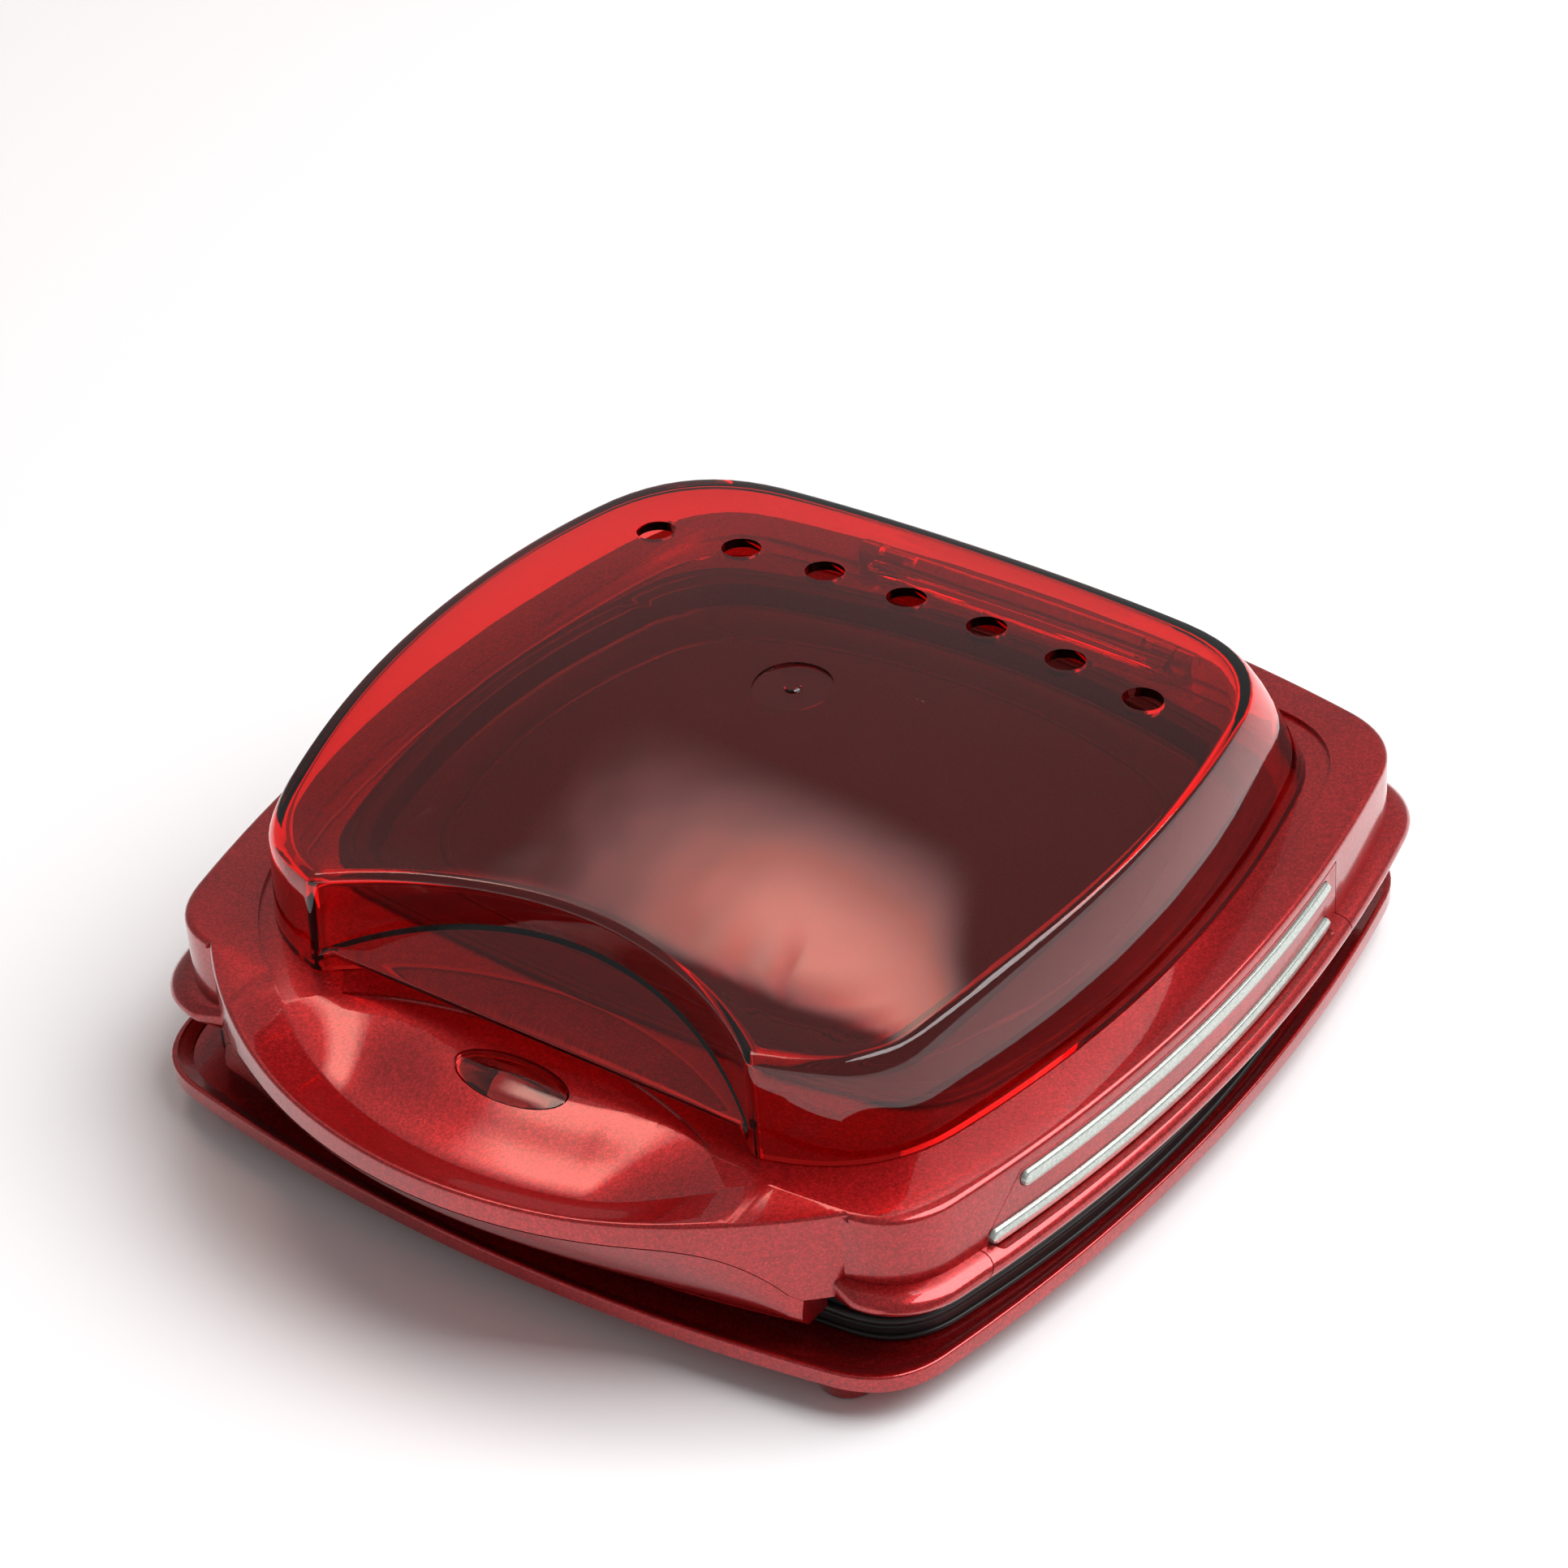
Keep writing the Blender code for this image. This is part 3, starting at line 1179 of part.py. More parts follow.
def lower_bezel():
    """A flat frame on the base's flange."""
    low, high = FLANGE_TOP + GAP, PARTING
    rings = [ring(BEZEL, low), ring(BEZEL, high - BEZEL_EDGE_ROUND),
             ring(BEZEL, high, -BEZEL_EDGE_ROUND), ring(PLATE, high, GAP), ring(PLATE, low, GAP)]
    piece("lower_bezel", loft(rings, closed=True), black_plastic())


def upper_bezel(lid):
    """A frame with an upright wall under the housing and a flange that holds the plate."""
    low, high = PARTING + GAP, HOUSING_BOTTOM - GAP
    floor = low + BEZEL_FLOOR
    rings = [ring(BEZEL, low, -BEZEL_EDGE_ROUND), ring(BEZEL, low + BEZEL_EDGE_ROUND),
             ring(BEZEL, high), ring(BEZEL, high, -BEZEL_WALL), ring(BEZEL, floor, -BEZEL_WALL),
             ring(PLATE, floor, GAP), ring(PLATE, low, GAP)]
    made = piece("upper_bezel", loft(rings, closed=True), black_plastic(), lid)
    seat = low + SCREW_HEAD_HEIGHT + 2 * GAP
    bores, heads = [], []
    for place in lid_screw_places():
        bores.append(cone(SCREW_RADIUS + GAP, SCREW_RADIUS + GAP, low - OVERRUN, floor + OVERRUN,
                          place, PIN_STEPS))
        heads.append(cone(SCREW_HEAD_RADIUS + GAP, SCREW_HEAD_RADIUS + GAP, low - OVERRUN, seat,
                          place, PIN_STEPS))
    cut(made, joined(heads), "head_seats")
    cut(made, joined(bores), "screw_bores")


def ridges(low, high):
    """Parallel ridges across a round well."""
    bars = []
    for i in range(RIDGE_COUNT):
        y = (i - (RIDGE_COUNT - 1) / 2) * RIDGE_PITCH
        half = math.sqrt((WELL_RADIUS - WELL_DRAFT - 2 * RIDGE_WIDTH) ** 2 - y ** 2)
        centre = PLATE_CENTRE_Y + y
        bars.append(block((-half, centre - RIDGE_WIDTH / 2, low), (half, centre + RIDGE_WIDTH / 2, high)))
    return joined(bars)


def lower_cooking_plate():
    top = PARTING - PLATE_SINK
    bottom, floor = FLANGE_TOP + GAP, top - LOWER_WELL_DEPTH
    rings = [ring(PLATE, bottom), ring(PLATE, top), well_ring(WELL_RADIUS, top),
             well_ring(WELL_RADIUS - WELL_DRAFT, floor)]
    made = piece("lower_cooking_plate", loft(rings), nonstick())
    join(made, ridges(floor - RIDGE_HEIGHT / 2, floor + RIDGE_HEIGHT), "ridges")


def pan_top():
    return PARTING + GAP + PLATE_SINK + UPPER_WELL_DEPTH + PAN_WALL


def upper_cooking_plate(lid):
    low = PARTING + GAP + PLATE_SINK
    ceiling = low + UPPER_WELL_DEPTH
    flange = low + PLATE_FLANGE
    rings = [well_ring(WELL_RADIUS - WELL_DRAFT, ceiling), well_ring(WELL_RADIUS, low), ring(PLATE, low),
             ring(PLATE, flange), well_ring(WELL_RADIUS + PAN_WALL, flange),
             well_ring(WELL_RADIUS - WELL_DRAFT + PAN_WALL, pan_top())]
    made = piece("upper_cooking_plate", loft(rings), nonstick(), lid)
    join(made, ridges(ceiling - RIDGE_HEIGHT, ceiling + RIDGE_HEIGHT / 2), "ridges")


def element(name, radius, z, parent=None):
    """A tubular heating element: a ring left open at the back."""
    count = ELEMENT_STEPS
    rows = []
    for i in range(count + 1):
        angle = math.pi / 2 + ELEMENT_GAP_ANGLE / 2 + (2 * math.pi - ELEMENT_GAP_ANGLE) * i / count
        row = []
        for k in range(ELEMENT_SIDES):
            turn = 2 * math.pi * k / ELEMENT_SIDES
            r = ELEMENT_RING_RADIUS + radius * math.cos(turn)
            row.append(Vector((r * math.cos(angle), PLATE_CENTRE_Y + r * math.sin(angle),
                               z + radius * math.sin(turn))))
        rows.append(row)
    piece(name, loft(rows), steel(), parent)


def heat_shields(lid):
    grow = BEZEL_INNER_INSET - SHIELD_INSET
    low = BODY_BOTTOM + BOTTOM_COVER_THICK + 2 * GAP
    piece("lower_heat_shield", loft([ring(PLATE, low, grow), ring(PLATE, low + SHIELD_THICK, grow)]),
          steel())
    low = pan_top() + THERMOSTAT_HEIGHT + 2 * GAP
    piece("upper_heat_shield", loft([ring(PLATE, low, grow), ring(PLATE, low + SHIELD_THICK, grow)]),
          steel(), lid)


def bun_plate(lid):
    """A shallow dish let into the housing's top, its flange on the ledge."""
    top = HOUSING_TOP - RECESS_DEPTH + GAP + BUN_PLATE_THICK
    low = top - BUN_PLATE_THICK
    floor = top - BUN_WELL_DEPTH
    rings = [ring(TRAY, floor - BUN_PLATE_THICK, -BUN_WELL_DRAFT - BUN_PLATE_THICK),
             ring(TRAY, low, -GAP - BUN_PLATE_THICK / 2), ring(TRAY, low, BUN_FLANGE),
             ring(TRAY, top, BUN_FLANGE), ring(TRAY, top, -2 * BUN_PLATE_THICK),
             ring(TRAY, floor, -BUN_WELL_DRAFT - 2 * BUN_PLATE_THICK)]
    piece("bun_warming_plate", loft(rings), nonstick(), lid)


def small_electrics(lid):
    low = pan_top() + GAP
    centre = (0, PLATE_CENTRE_Y)
    piece("thermostat", cone(THERMOSTAT_RADIUS, THERMOSTAT_RADIUS, low, low + THERMOSTAT_HEIGHT, centre),
          ceramic(), lid)
    fuse = rod(FUSE_RADIUS, -FUSE_LENGTH / 2, FUSE_LENGTH / 2, PLATE_CENTRE_Y + FUSE_OFFSET_Y,
               low + FUSE_RADIUS)
    piece("thermal_fuse", fuse, ceramic(), lid)
    top = HOUSING_TOP - LEDGE_THICK - GAP
    x, y = CORD_X, HOUSING_BACK_CORNER_Y - TRAY_BACK_INSET + BACK_BOW + BLOCK_WIDTH
    piece("terminal_block", block((x - BLOCK_LENGTH / 2, y - BLOCK_WIDTH / 2, top - BLOCK_HEIGHT),
                                  (x + BLOCK_LENGTH / 2, y + BLOCK_WIDTH / 2, top)), ceramic(), lid)


def cord_bushing(lid):
    """The cord's gland in the back wall: a bored plug with a flange inside."""
    seat = -SHELL_WALL - GAP
    section = ((BUSHING_BORE, seat - BUSHING_FLANGE), (BUSHING_FLANGE_RADIUS, seat - BUSHING_FLANGE),
               (BUSHING_FLANGE_RADIUS, seat), (BUSHING_RADIUS, seat), (BUSHING_RADIUS, BUSHING_NOSE),
               (BUSHING_BORE, BUSHING_NOSE))
    mesh = loft([circle(radius, z, TURNED_STEPS) for radius, z in section], closed=True)
    piece("cord_bushing", through_back_wall(mesh), rubber(), lid)


def build():
    for obj in list(bpy.data.objects):
        bpy.data.objects.remove(obj, do_unlink=True)
    lid = empty_at("lid_hinge_axis", (0, LID_AXIS_Y, LID_AXIS_Z))
    cover = empty_at("cover_hinge_axis", (0, COVER_AXIS_Y, COVER_AXIS_Z), lid)
    base_shell()
    base_bottom_cover()
    foot_pads()
    lid_pins()
    lower_bezel()
    lower_cooking_plate()
    lower = BODY_BOTTOM + BOTTOM_COVER_THICK + 3 * GAP + SHIELD_THICK + LOWER_ELEMENT_RADIUS
    element("lower_heating_element", LOWER_ELEMENT_RADIUS, lower)
    for i, place in enumerate(base_screw_places()):
        screw(f"base_screw_{i + 1}", place, BODY_BOTTOM, BASE_SCREW_LENGTH)
    upper_shell(lid)
    handle_underside(lid)
    side_panels(lid)
    indicator(lid)
    upper_bezel(lid)
    upper_cooking_plate(lid)
    element("upper_heating_element", UPPER_ELEMENT_RADIUS, pan_top() + GAP + UPPER_ELEMENT_RADIUS, lid)
    heat_shields(lid)
    bun_plate(lid)
    small_electrics(lid)
    cord_bushing(lid)
    head = PARTING + 2 * GAP + SCREW_HEAD_HEIGHT
    for i, place in enumerate(lid_screw_places()):
        screw(f"lid_screw_{i + 1}", place, head, LID_SCREW_LENGTH, lid)
    cover_pins(lid)
    bun_cover(cover)


build()
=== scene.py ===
import math

import bmesh
import bpy
from mathutils import Matrix, Vector


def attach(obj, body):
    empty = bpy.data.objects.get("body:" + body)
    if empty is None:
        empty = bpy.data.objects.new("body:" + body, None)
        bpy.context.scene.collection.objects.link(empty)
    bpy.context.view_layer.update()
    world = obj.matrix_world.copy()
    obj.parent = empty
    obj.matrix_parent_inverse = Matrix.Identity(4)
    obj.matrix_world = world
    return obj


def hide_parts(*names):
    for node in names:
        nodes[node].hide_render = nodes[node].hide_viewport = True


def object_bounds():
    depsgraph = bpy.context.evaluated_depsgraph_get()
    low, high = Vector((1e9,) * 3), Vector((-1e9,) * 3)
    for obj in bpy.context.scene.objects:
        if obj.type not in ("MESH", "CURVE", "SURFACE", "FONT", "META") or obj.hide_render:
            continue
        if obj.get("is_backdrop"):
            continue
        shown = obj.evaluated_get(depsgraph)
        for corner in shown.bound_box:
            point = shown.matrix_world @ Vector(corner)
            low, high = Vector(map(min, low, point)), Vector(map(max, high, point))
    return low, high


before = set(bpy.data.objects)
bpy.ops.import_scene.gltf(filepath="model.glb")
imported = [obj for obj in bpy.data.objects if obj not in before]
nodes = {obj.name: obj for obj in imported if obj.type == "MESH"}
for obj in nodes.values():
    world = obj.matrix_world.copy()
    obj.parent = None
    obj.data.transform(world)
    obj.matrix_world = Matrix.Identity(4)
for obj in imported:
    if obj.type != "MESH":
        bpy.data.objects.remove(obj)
cad_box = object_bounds()


# The base tray
# Moulded ABS in metallic red lacquer: a flat flange with a thin raised lip and a short skirt, on
# four round feet. Two towers at its back carry the lid's hinge pins.

tray_plan = dict(half_width=0.1112, front=-0.1062, back=0.1232, side_bow=0.0140, front_bow=0.0123,
                 back_bow=0.0130, rounding=0.0150)
plate_plan = dict(half_width=0.0850, front=-0.0732, back=0.0883, side_bow=0.0151, front_bow=0.0060,
                  back_bow=0.0120, rounding=0.0150)
side_steps, corner_steps = 26, 10

skirt_bottom, lip_top, flange_top = 0.0094, 0.0140, 0.0120
tray_body_bottom = 0.0032
foot_places = [(x, y) for y in (-0.0970, 0.1020) for x in (-0.0915, 0.0915)]
lid_axis = Vector((0, 0.1280, 0.0270))
lid_barrel, lid_pin = 0.0060, 0.0025
tower_inner, tower_width = 0.0513, 0.0100
tower_bore = (0.048, 0.065)
pin_play = 0.00015
fit, past = 0.0003, 0.003
sharp_angle = 32


def linear(code):
    """An sRGB hex colour as linear RGBA."""
    parts = [int(code[i:i + 2], 16) / 255 for i in (0, 2, 4)]
    return (*[part / 12.92 if part <= 0.04045 else ((part + 0.055) / 1.055) ** 2.4 for part in parts], 1)


def add(tree, kind, settings=None, **inputs):
    """Adds a node. Its inputs are values, or (node, output) pairs to be linked."""
    made = tree.nodes.new(kind)
    for name, value in (settings or {}).items():
        setattr(made, name, value)
    for name, value in inputs.items():
        socket = made.inputs[int(name[1:])] if name[1:].isdigit() else made.inputs[name.replace("_", " ")]
        if isinstance(value, tuple) and isinstance(value[0], bpy.types.Node):
            tree.links.new(value[0].outputs[value[1]], socket)
        else:
            socket.default_value = value
    return made


def finish_named(name):
    """A fresh material, with its node tree and the object's own coordinates."""
    made = bpy.data.materials.new(name)
    made.use_nodes = True
    made.node_tree.nodes.clear()
    return made, made.node_tree, add(made.node_tree, "ShaderNodeTexCoord")


def closed_with(tree, **inputs):
    """Ends a material with its shader and output."""
    shader = add(tree, "ShaderNodeBsdfPrincipled", **inputs)
    add(tree, "ShaderNodeOutputMaterial", Surface=(shader, "BSDF"))


def ramp(tree, source, stops):
    """A colour ramp through (place, hex colour) stops."""
    made = add(tree, "ShaderNodeValToRGB", Fac=source)
    band = made.color_ramp
    while len(band.elements) < len(stops):
        band.elements.new(0.5)
    for element, (place, code) in zip(band.elements, stops):
        element.position = place
        element.color = linear(code)
    return made


def metallic_lacquer():
    """Metallic red lacquer under clear varnish, sprayed on ABS: tiny flakes glint inside a deep
    red, the varnish gives a wet, sharp gloss, and the spray leaves a faint unevenness."""
    made, tree, place = finish_named("metallic red lacquer under clear varnish")
    # A flake is about 0.05 mm; the grains drawn are 0.5 mm, as coarse as they need to be to show
    flakes = add(tree, "ShaderNodeTexVoronoi", Vector=(place, "Object"), Scale=1 / 0.0005)
    grain = ramp(tree, (flakes, "Color"), ((0.0, "8E0F12"), (0.5, "B3161A"), (1.0, "D4262A")))
    # Sprayed colour is thicker in some places, over about 50 mm
    drift = add(tree, "ShaderNodeTexNoise", Vector=(place, "Object"), Scale=1 / 0.05, Detail=2.0)
    depth = ramp(tree, (drift, "Fac"), ((0.3, "DADADA"), (0.7, "FFFFFF")))
    colour = add(tree, "ShaderNodeMix", {"data_type": "RGBA", "blend_type": "MULTIPLY"}, Factor=1.0,
                 i6=(grain, "Color"), i7=(depth, "Color"))
    # The varnish flows out in soft waves about 2.5 mm long
    waves = add(tree, "ShaderNodeTexNoise", Vector=(place, "Object"), Scale=1 / 0.0025, Detail=1.0)
    peel = add(tree, "ShaderNodeBump", Strength=0.06, Distance=0.0001, Height=(waves, "Fac"))
    sparkle = add(tree, "ShaderNodeBump", Strength=0.12, Distance=0.0001, Height=(flakes, "Distance"))
    closed_with(tree, Base_Color=(colour, 2), Metallic=0.62, Roughness=0.30, IOR=1.5,
                Normal=(sparkle, "Normal"), Coat_Weight=1.0, Coat_Roughness=0.035, Coat_IOR=1.5,
                Coat_Normal=(peel, "Normal"))
    return made


def bowed(plan, grow=0, **changes):
    """The outline of a square whose sides bow outwards, as (x, y) points, anticlockwise from its
    front left corner."""
    plan = {**plan, **changes}
    x, low, high = plan["half_width"] + grow, plan["front"] - grow, plan["back"] + grow
    corners = [Vector(pair) for pair in ((-x, low), (x, low), (x, high), (-x, high))]
    bows = [plan[side] for side in ("front_bow", "side_bow", "back_bow", "side_bow")]

    def on_side(i, t):
        start, end = corners[i % 4], corners[(i + 1) % 4]
        out = Vector(((end - start).y, -(end - start).x)).normalized()
        return start.lerp(end, t) + out * (4 * bows[i % 4] * t * (1 - t))
    points = []
    for i in range(4):
        share = plan["rounding"] / (corners[(i + 1) % 4] - corners[i]).length
        next_share = plan["rounding"] / (corners[(i + 2) % 4] - corners[(i + 1) % 4]).length
        points += [on_side(i, share + (1 - 2 * share) * k / side_steps) for k in range(side_steps + 1)]
        start, middle, end = points[-1], corners[(i + 1) % 4], on_side(i + 1, next_share)
        for k in range(1, corner_steps):
            t = k / corner_steps
            points.append(start * (1 - t) ** 2 + middle * (2 * t * (1 - t)) + end * t ** 2)
    return points


def level(points, z):
    """The outline's points at one height."""
    return [Vector((point[0], point[1], z)) for point in points]


def circle(radius, z, count=64, centre=(0, 0)):
    """Points of a level circle."""
    turn = 2 * math.pi / count
    return [Vector((centre[0] + radius * math.cos(turn * (k + 0.5)),
                    centre[1] + radius * math.sin(turn * (k + 0.5)), z)) for k in range(count)]


def arc(start, end, steps):
    """Steps of a round from one angle to another, in degrees, as (cosine, sine) pairs."""
    for k in range(steps + 1):
        angle = math.radians(start + (end - start) * k / steps)
        yield math.cos(angle), math.sin(angle)


def closed_up(shape):
    """Turns the faces of a closed shape outwards."""
    bmesh.ops.recalc_face_normals(shape, faces=shape.faces)
    if shape.calc_volume(signed=True) < 0:
        bmesh.ops.reverse_faces(shape, faces=shape.faces)
    return shape


def skin(loops, joined=False):
    """A surface drawn from one loop of points to the next. Its ends are filled, or meet."""
    shape = bmesh.new()
    bmesh.ops.create_circle(shape, segments=len(loops[0]), radius=1)
    row, edges = shape.verts[:], shape.edges[:]
    for vert, point in zip(row, loops[0]):
        vert.co = point
    for points in list(loops[1:]) + ([loops[0]] if joined else []):
        drawn = bmesh.ops.extrude_edge_only(shape, edges=edges)["geom"]
        fresh = {item for item in drawn if isinstance(item, bmesh.types.BMVert)}
        row = [next(edge.other_vert(vert) for edge in vert.link_edges if edge.other_vert(vert) in fresh)
               for vert in row]
        edges = [item for item in drawn if isinstance(item, bmesh.types.BMEdge)
                 and all(vert in fresh for vert in item.verts)]
        for vert, point in zip(row, points):
            vert.co = point
    if joined:
        bmesh.ops.remove_doubles(shape, verts=shape.verts, dist=1e-7)
    else:
        bmesh.ops.holes_fill(shape, edges=[edge for edge in shape.edges if edge.is_boundary], sides=0)
    return closed_up(shape)


def turned(section, centre=(0, 0), count=64):
    """An upright turned solid through (radius, height) pairs."""
    return skin([circle(radius, z, count, centre) for radius, z in section])


def brick(low, high):
    """A block between two corners."""
    shape = bmesh.new()
    low, high = Vector(low), Vector(high)
    bmesh.ops.create_cube(shape, size=1)
    bmesh.ops.scale(shape, vec=high - low, verts=shape.verts)
    bmesh.ops.translate(shape, vec=(low + high) / 2, verts=shape.verts)
    return closed_up(shape)


def bar(radius, start, end, y, z, count=48):
    """A round bar along X."""
    shape = bmesh.new()
    bmesh.ops.create_cone(shape, cap_ends=True, segments=count, radius1=radius, radius2=radius,
                          depth=end - start)
    bmesh.ops.rotate(shape, matrix=Matrix.Rotation(math.pi / 2, 3, "Y"), verts=shape.verts)
    bmesh.ops.translate(shape, vec=((start + end) / 2, y, z), verts=shape.verts)
    return closed_up(shape)


def lug(start, end, axis, radius, leg, steps=24):
    """A hinge lug: a half round about the axis, with a straight leg that ends at a height."""
    turn = math.pi if leg > axis.z else 0
    section = [(radius, leg - axis.z), (-radius, leg - axis.z)]
    if leg < axis.z:
        section.reverse()
    section += [(radius * math.cos(turn + math.pi * k / steps), radius * math.sin(turn + math.pi * k / steps))
                for k in range(steps + 1)]
    return skin([[Vector((x, axis.y + a, axis.z + b)) for a, b in section] for x in (start, end)])


def loose(name, shape):
    """Puts a bmesh into an object of its own."""
    mesh = bpy.data.meshes.new(name)
    shape.to_mesh(mesh)
    shape.free()
    made = bpy.data.objects.new(name, mesh)
    bpy.context.scene.collection.objects.link(made)
    return made


def combined(shape, operation, *tools):
    """A closed shape with others added, or taken away."""
    body = loose("body", shape)
    helpers = [loose("tool", tool) for tool in tools]
    for helper in helpers:
        step = body.modifiers.new("step", "BOOLEAN")
        step.operation, step.solver, step.object = operation, "MANIFOLD", helper
    bpy.context.view_layer.update()
    result = bmesh.new()
    result.from_object(body, bpy.context.evaluated_depsgraph_get())
    for item in (body, *helpers):
        mesh = item.data
        bpy.data.objects.remove(item, do_unlink=True)
        bpy.data.meshes.remove(mesh)
    return result


def piece(name, shape, look, body, stands_for):
    """Makes a shape a piece of the object, in its finish, on its body."""
    made = loose(name, shape)
    made.data.shade_smooth()
    made.data.set_sharp_from_angle(angle=math.radians(sharp_angle))
    made.data.materials.append(look)
    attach(made, body)
    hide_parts(*stands_for)


def dress(name, look):
    """Gives a CAD node its finish."""
    for item in nodes[name].material_slots:
        item.material = look


def stretch(side, start, end):
    """A stretch along X on one side of the middle, its lower end first."""
    return sorted((side * start, side * end))


red_lacquer = metallic_lacquer()

tray_wall, rim_wall = 0.0016, 0.0024
body_side = -0.0215
body_wall = body_side - 0.0017 - rim_wall
skirt_edge, lip_round, lip_width, lip_inner_round = 0.0003, 0.0006, 0.0010, 0.0004
lip_foot, lip_foot_reach, lip_foot_rise, flange_start = 0.0040, 0.0021, 0.0010, 0.0048
under_flange = 0.0107
seat = bowed(plate_plan, -0.0040)
tray_loops = [level(bowed(tray_plan), skirt_bottom + skirt_edge), level(bowed(tray_plan), lip_top - lip_round)]
tray_loops += [level(bowed(tray_plan, -lip_round + lip_round * c), lip_top - lip_round + lip_round * s)
               for c, s in arc(15, 90, 4)]
tray_loops += [level(bowed(tray_plan, -lip_width - lip_inner_round * s),
                     lip_top - lip_inner_round + lip_inner_round * c) for c, s in arc(0, 75, 3)]
tray_loops += [level(bowed(tray_plan, -lip_foot + lip_foot_reach * (1 - s)),
                     flange_top + lip_foot_rise * (1 - c)) for c, s in arc(60, 0, 5)]
tray_loops += [level(bowed(tray_plan, -flange_start), flange_top), level(seat, flange_top),
               level(seat, flange_top - tray_wall), level(bowed(tray_plan, body_wall), flange_top - tray_wall),
               level(bowed(tray_plan, body_wall), tray_body_bottom),
               level(bowed(tray_plan, body_wall + rim_wall), tray_body_bottom),
               level(bowed(tray_plan, body_side), skirt_bottom),
               level(bowed(tray_plan, -2 * tray_wall), flange_top - tray_wall),
               level(bowed(tray_plan, -tray_wall), skirt_bottom),
               level(bowed(tray_plan, -skirt_edge), skirt_bottom)]
tray = skin(tray_loops, joined=True)
foot_section = [(0.0066, 0.0004), (0.0070, 0.0006), (0.0072, 0.0010), (0.0085, under_flange)]
pad_radius, pad_depth = 0.0055, 0.0021
towers = [lug(*stretch(side, tower_inner, tower_inner + tower_width), lid_axis, lid_barrel, under_flange)
          for side in (-1, 1)]
tray = combined(tray, "UNION", *[turned(foot_section, place, 48) for place in foot_places], *towers)
pad_seats = [turned([(pad_radius, -past), (pad_radius, pad_depth)], place, 48) for place in foot_places]
bores = [bar(lid_pin + pin_play, *stretch(side, *tower_bore), lid_axis.y, lid_axis.z) for side in (-1, 1)]
tray = combined(tray, "DIFFERENCE", *pad_seats, *bores)
piece("base_tray", tray, red_lacquer, "base", ["base_shell"])


# Bottom cover, foot pads and screws of the base
# A flat black moulding that closes the base from below, four pressed-in rubber pads and four pan
# head screws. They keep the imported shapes, which are plain in the real thing too.

def moulded_black(name, mottle, gloss):
    """Black plastic or rubber from an etched mould: an even grey-black, satin or matt, with a fine
    grain."""
    made, tree, place = finish_named(name)
    # The mould's etched grain is about 0.1 mm; it is drawn at 0.4 mm so that it shows
    grain = add(tree, "ShaderNodeTexNoise", Vector=(place, "Object"), Scale=1 / 0.0004, Detail=3.0)
    shade = ramp(tree, (grain, "Fac"), ((0.35, mottle[0]), (0.65, mottle[1])))
    relief = add(tree, "ShaderNodeBump", Strength=0.25, Distance=0.00005, Height=(grain, "Fac"))
    closed_with(tree, Base_Color=(shade, "Color"), Roughness=gloss, IOR=1.5, Normal=(relief, "Normal"))
    return made


def turned_steel(name, shades, gloss):
    """Drawn, rolled or turned steel: bright, with fine tool marks that soften its shine."""
    made, tree, place = finish_named(name)
    # Tool marks are 0.1 mm apart; they are drawn at 0.3 mm
    marks = add(tree, "ShaderNodeTexNoise", Vector=(place, "Object"), Scale=1 / 0.0003, Detail=2.0)
    shade = ramp(tree, (marks, "Fac"), ((0.3, shades[0]), (0.7, shades[1])))
    relief = add(tree, "ShaderNodeBump", Strength=0.2, Distance=0.00004, Height=(marks, "Fac"))
    closed_with(tree, Base_Color=(shade, "Color"), Metallic=1.0, Roughness=gloss, Normal=(relief, "Normal"))
    return made


black_moulding = moulded_black("satin black heat-proof plastic", ("141616", "1E2121"), 0.36)
soft_rubber = moulded_black("matt black rubber", ("101010", "1A1A1A"), 0.78)
zinc_steel = turned_steel("zinc plated turned steel", ("A9ABAC", "C9CBCC"), 0.30)
dress("base_bottom_cover", black_moulding)
for corner in ("front_left", "front_right", "back_left", "back_right"):
    dress(f"foot_pad_{corner}", soft_rubber)
for k in range(1, 5):
    dress(f"base_screw_{k}", zinc_steel)
    dress(f"lid_screw_{k}", zinc_steel)
for side in ("left", "right"):
    dress(f"lid_hinge_pin_{side}", zinc_steel)
    dress(f"cover_hinge_pin_{side}", zinc_steel)


# Frames round the cooking plates
# Two black mouldings that hold the plates: a low one on the base's flange, and a taller one under
# the lid, whose foot stands out as a rounded moulding.

frame_plan = dict(half_width=0.1057, front=-0.0939, back=0.1065, side_bow=0.0151, front_bow=0.0060,
                  back_bow=0.0140, rounding=0.0150)
parting = 0.0160
low_round, low_round_middle, low_step = 0.0008, 0.0011, 0.0010
low_frame = [level(bowed(plate_plan, fit), flange_top + fit),
             level(bowed(frame_plan, -low_round), flange_top + fit)]
low_frame += [level(bowed(frame_plan, -low_round + low_round * c),
                    flange_top + low_round_middle + low_round * s) for c, s in arc(-90, 90, 8)]
low_frame += [level(bowed(frame_plan, -low_step - low_round * (1 - c)), parting - low_round + low_round * s)
              for c, s in arc(0, 90, 5)]
low_frame.append(level(bowed(plate_plan, fit), parting))
piece("lower_frame", skin(low_frame, joined=True), black_moulding, "base", ["lower_bezel"])

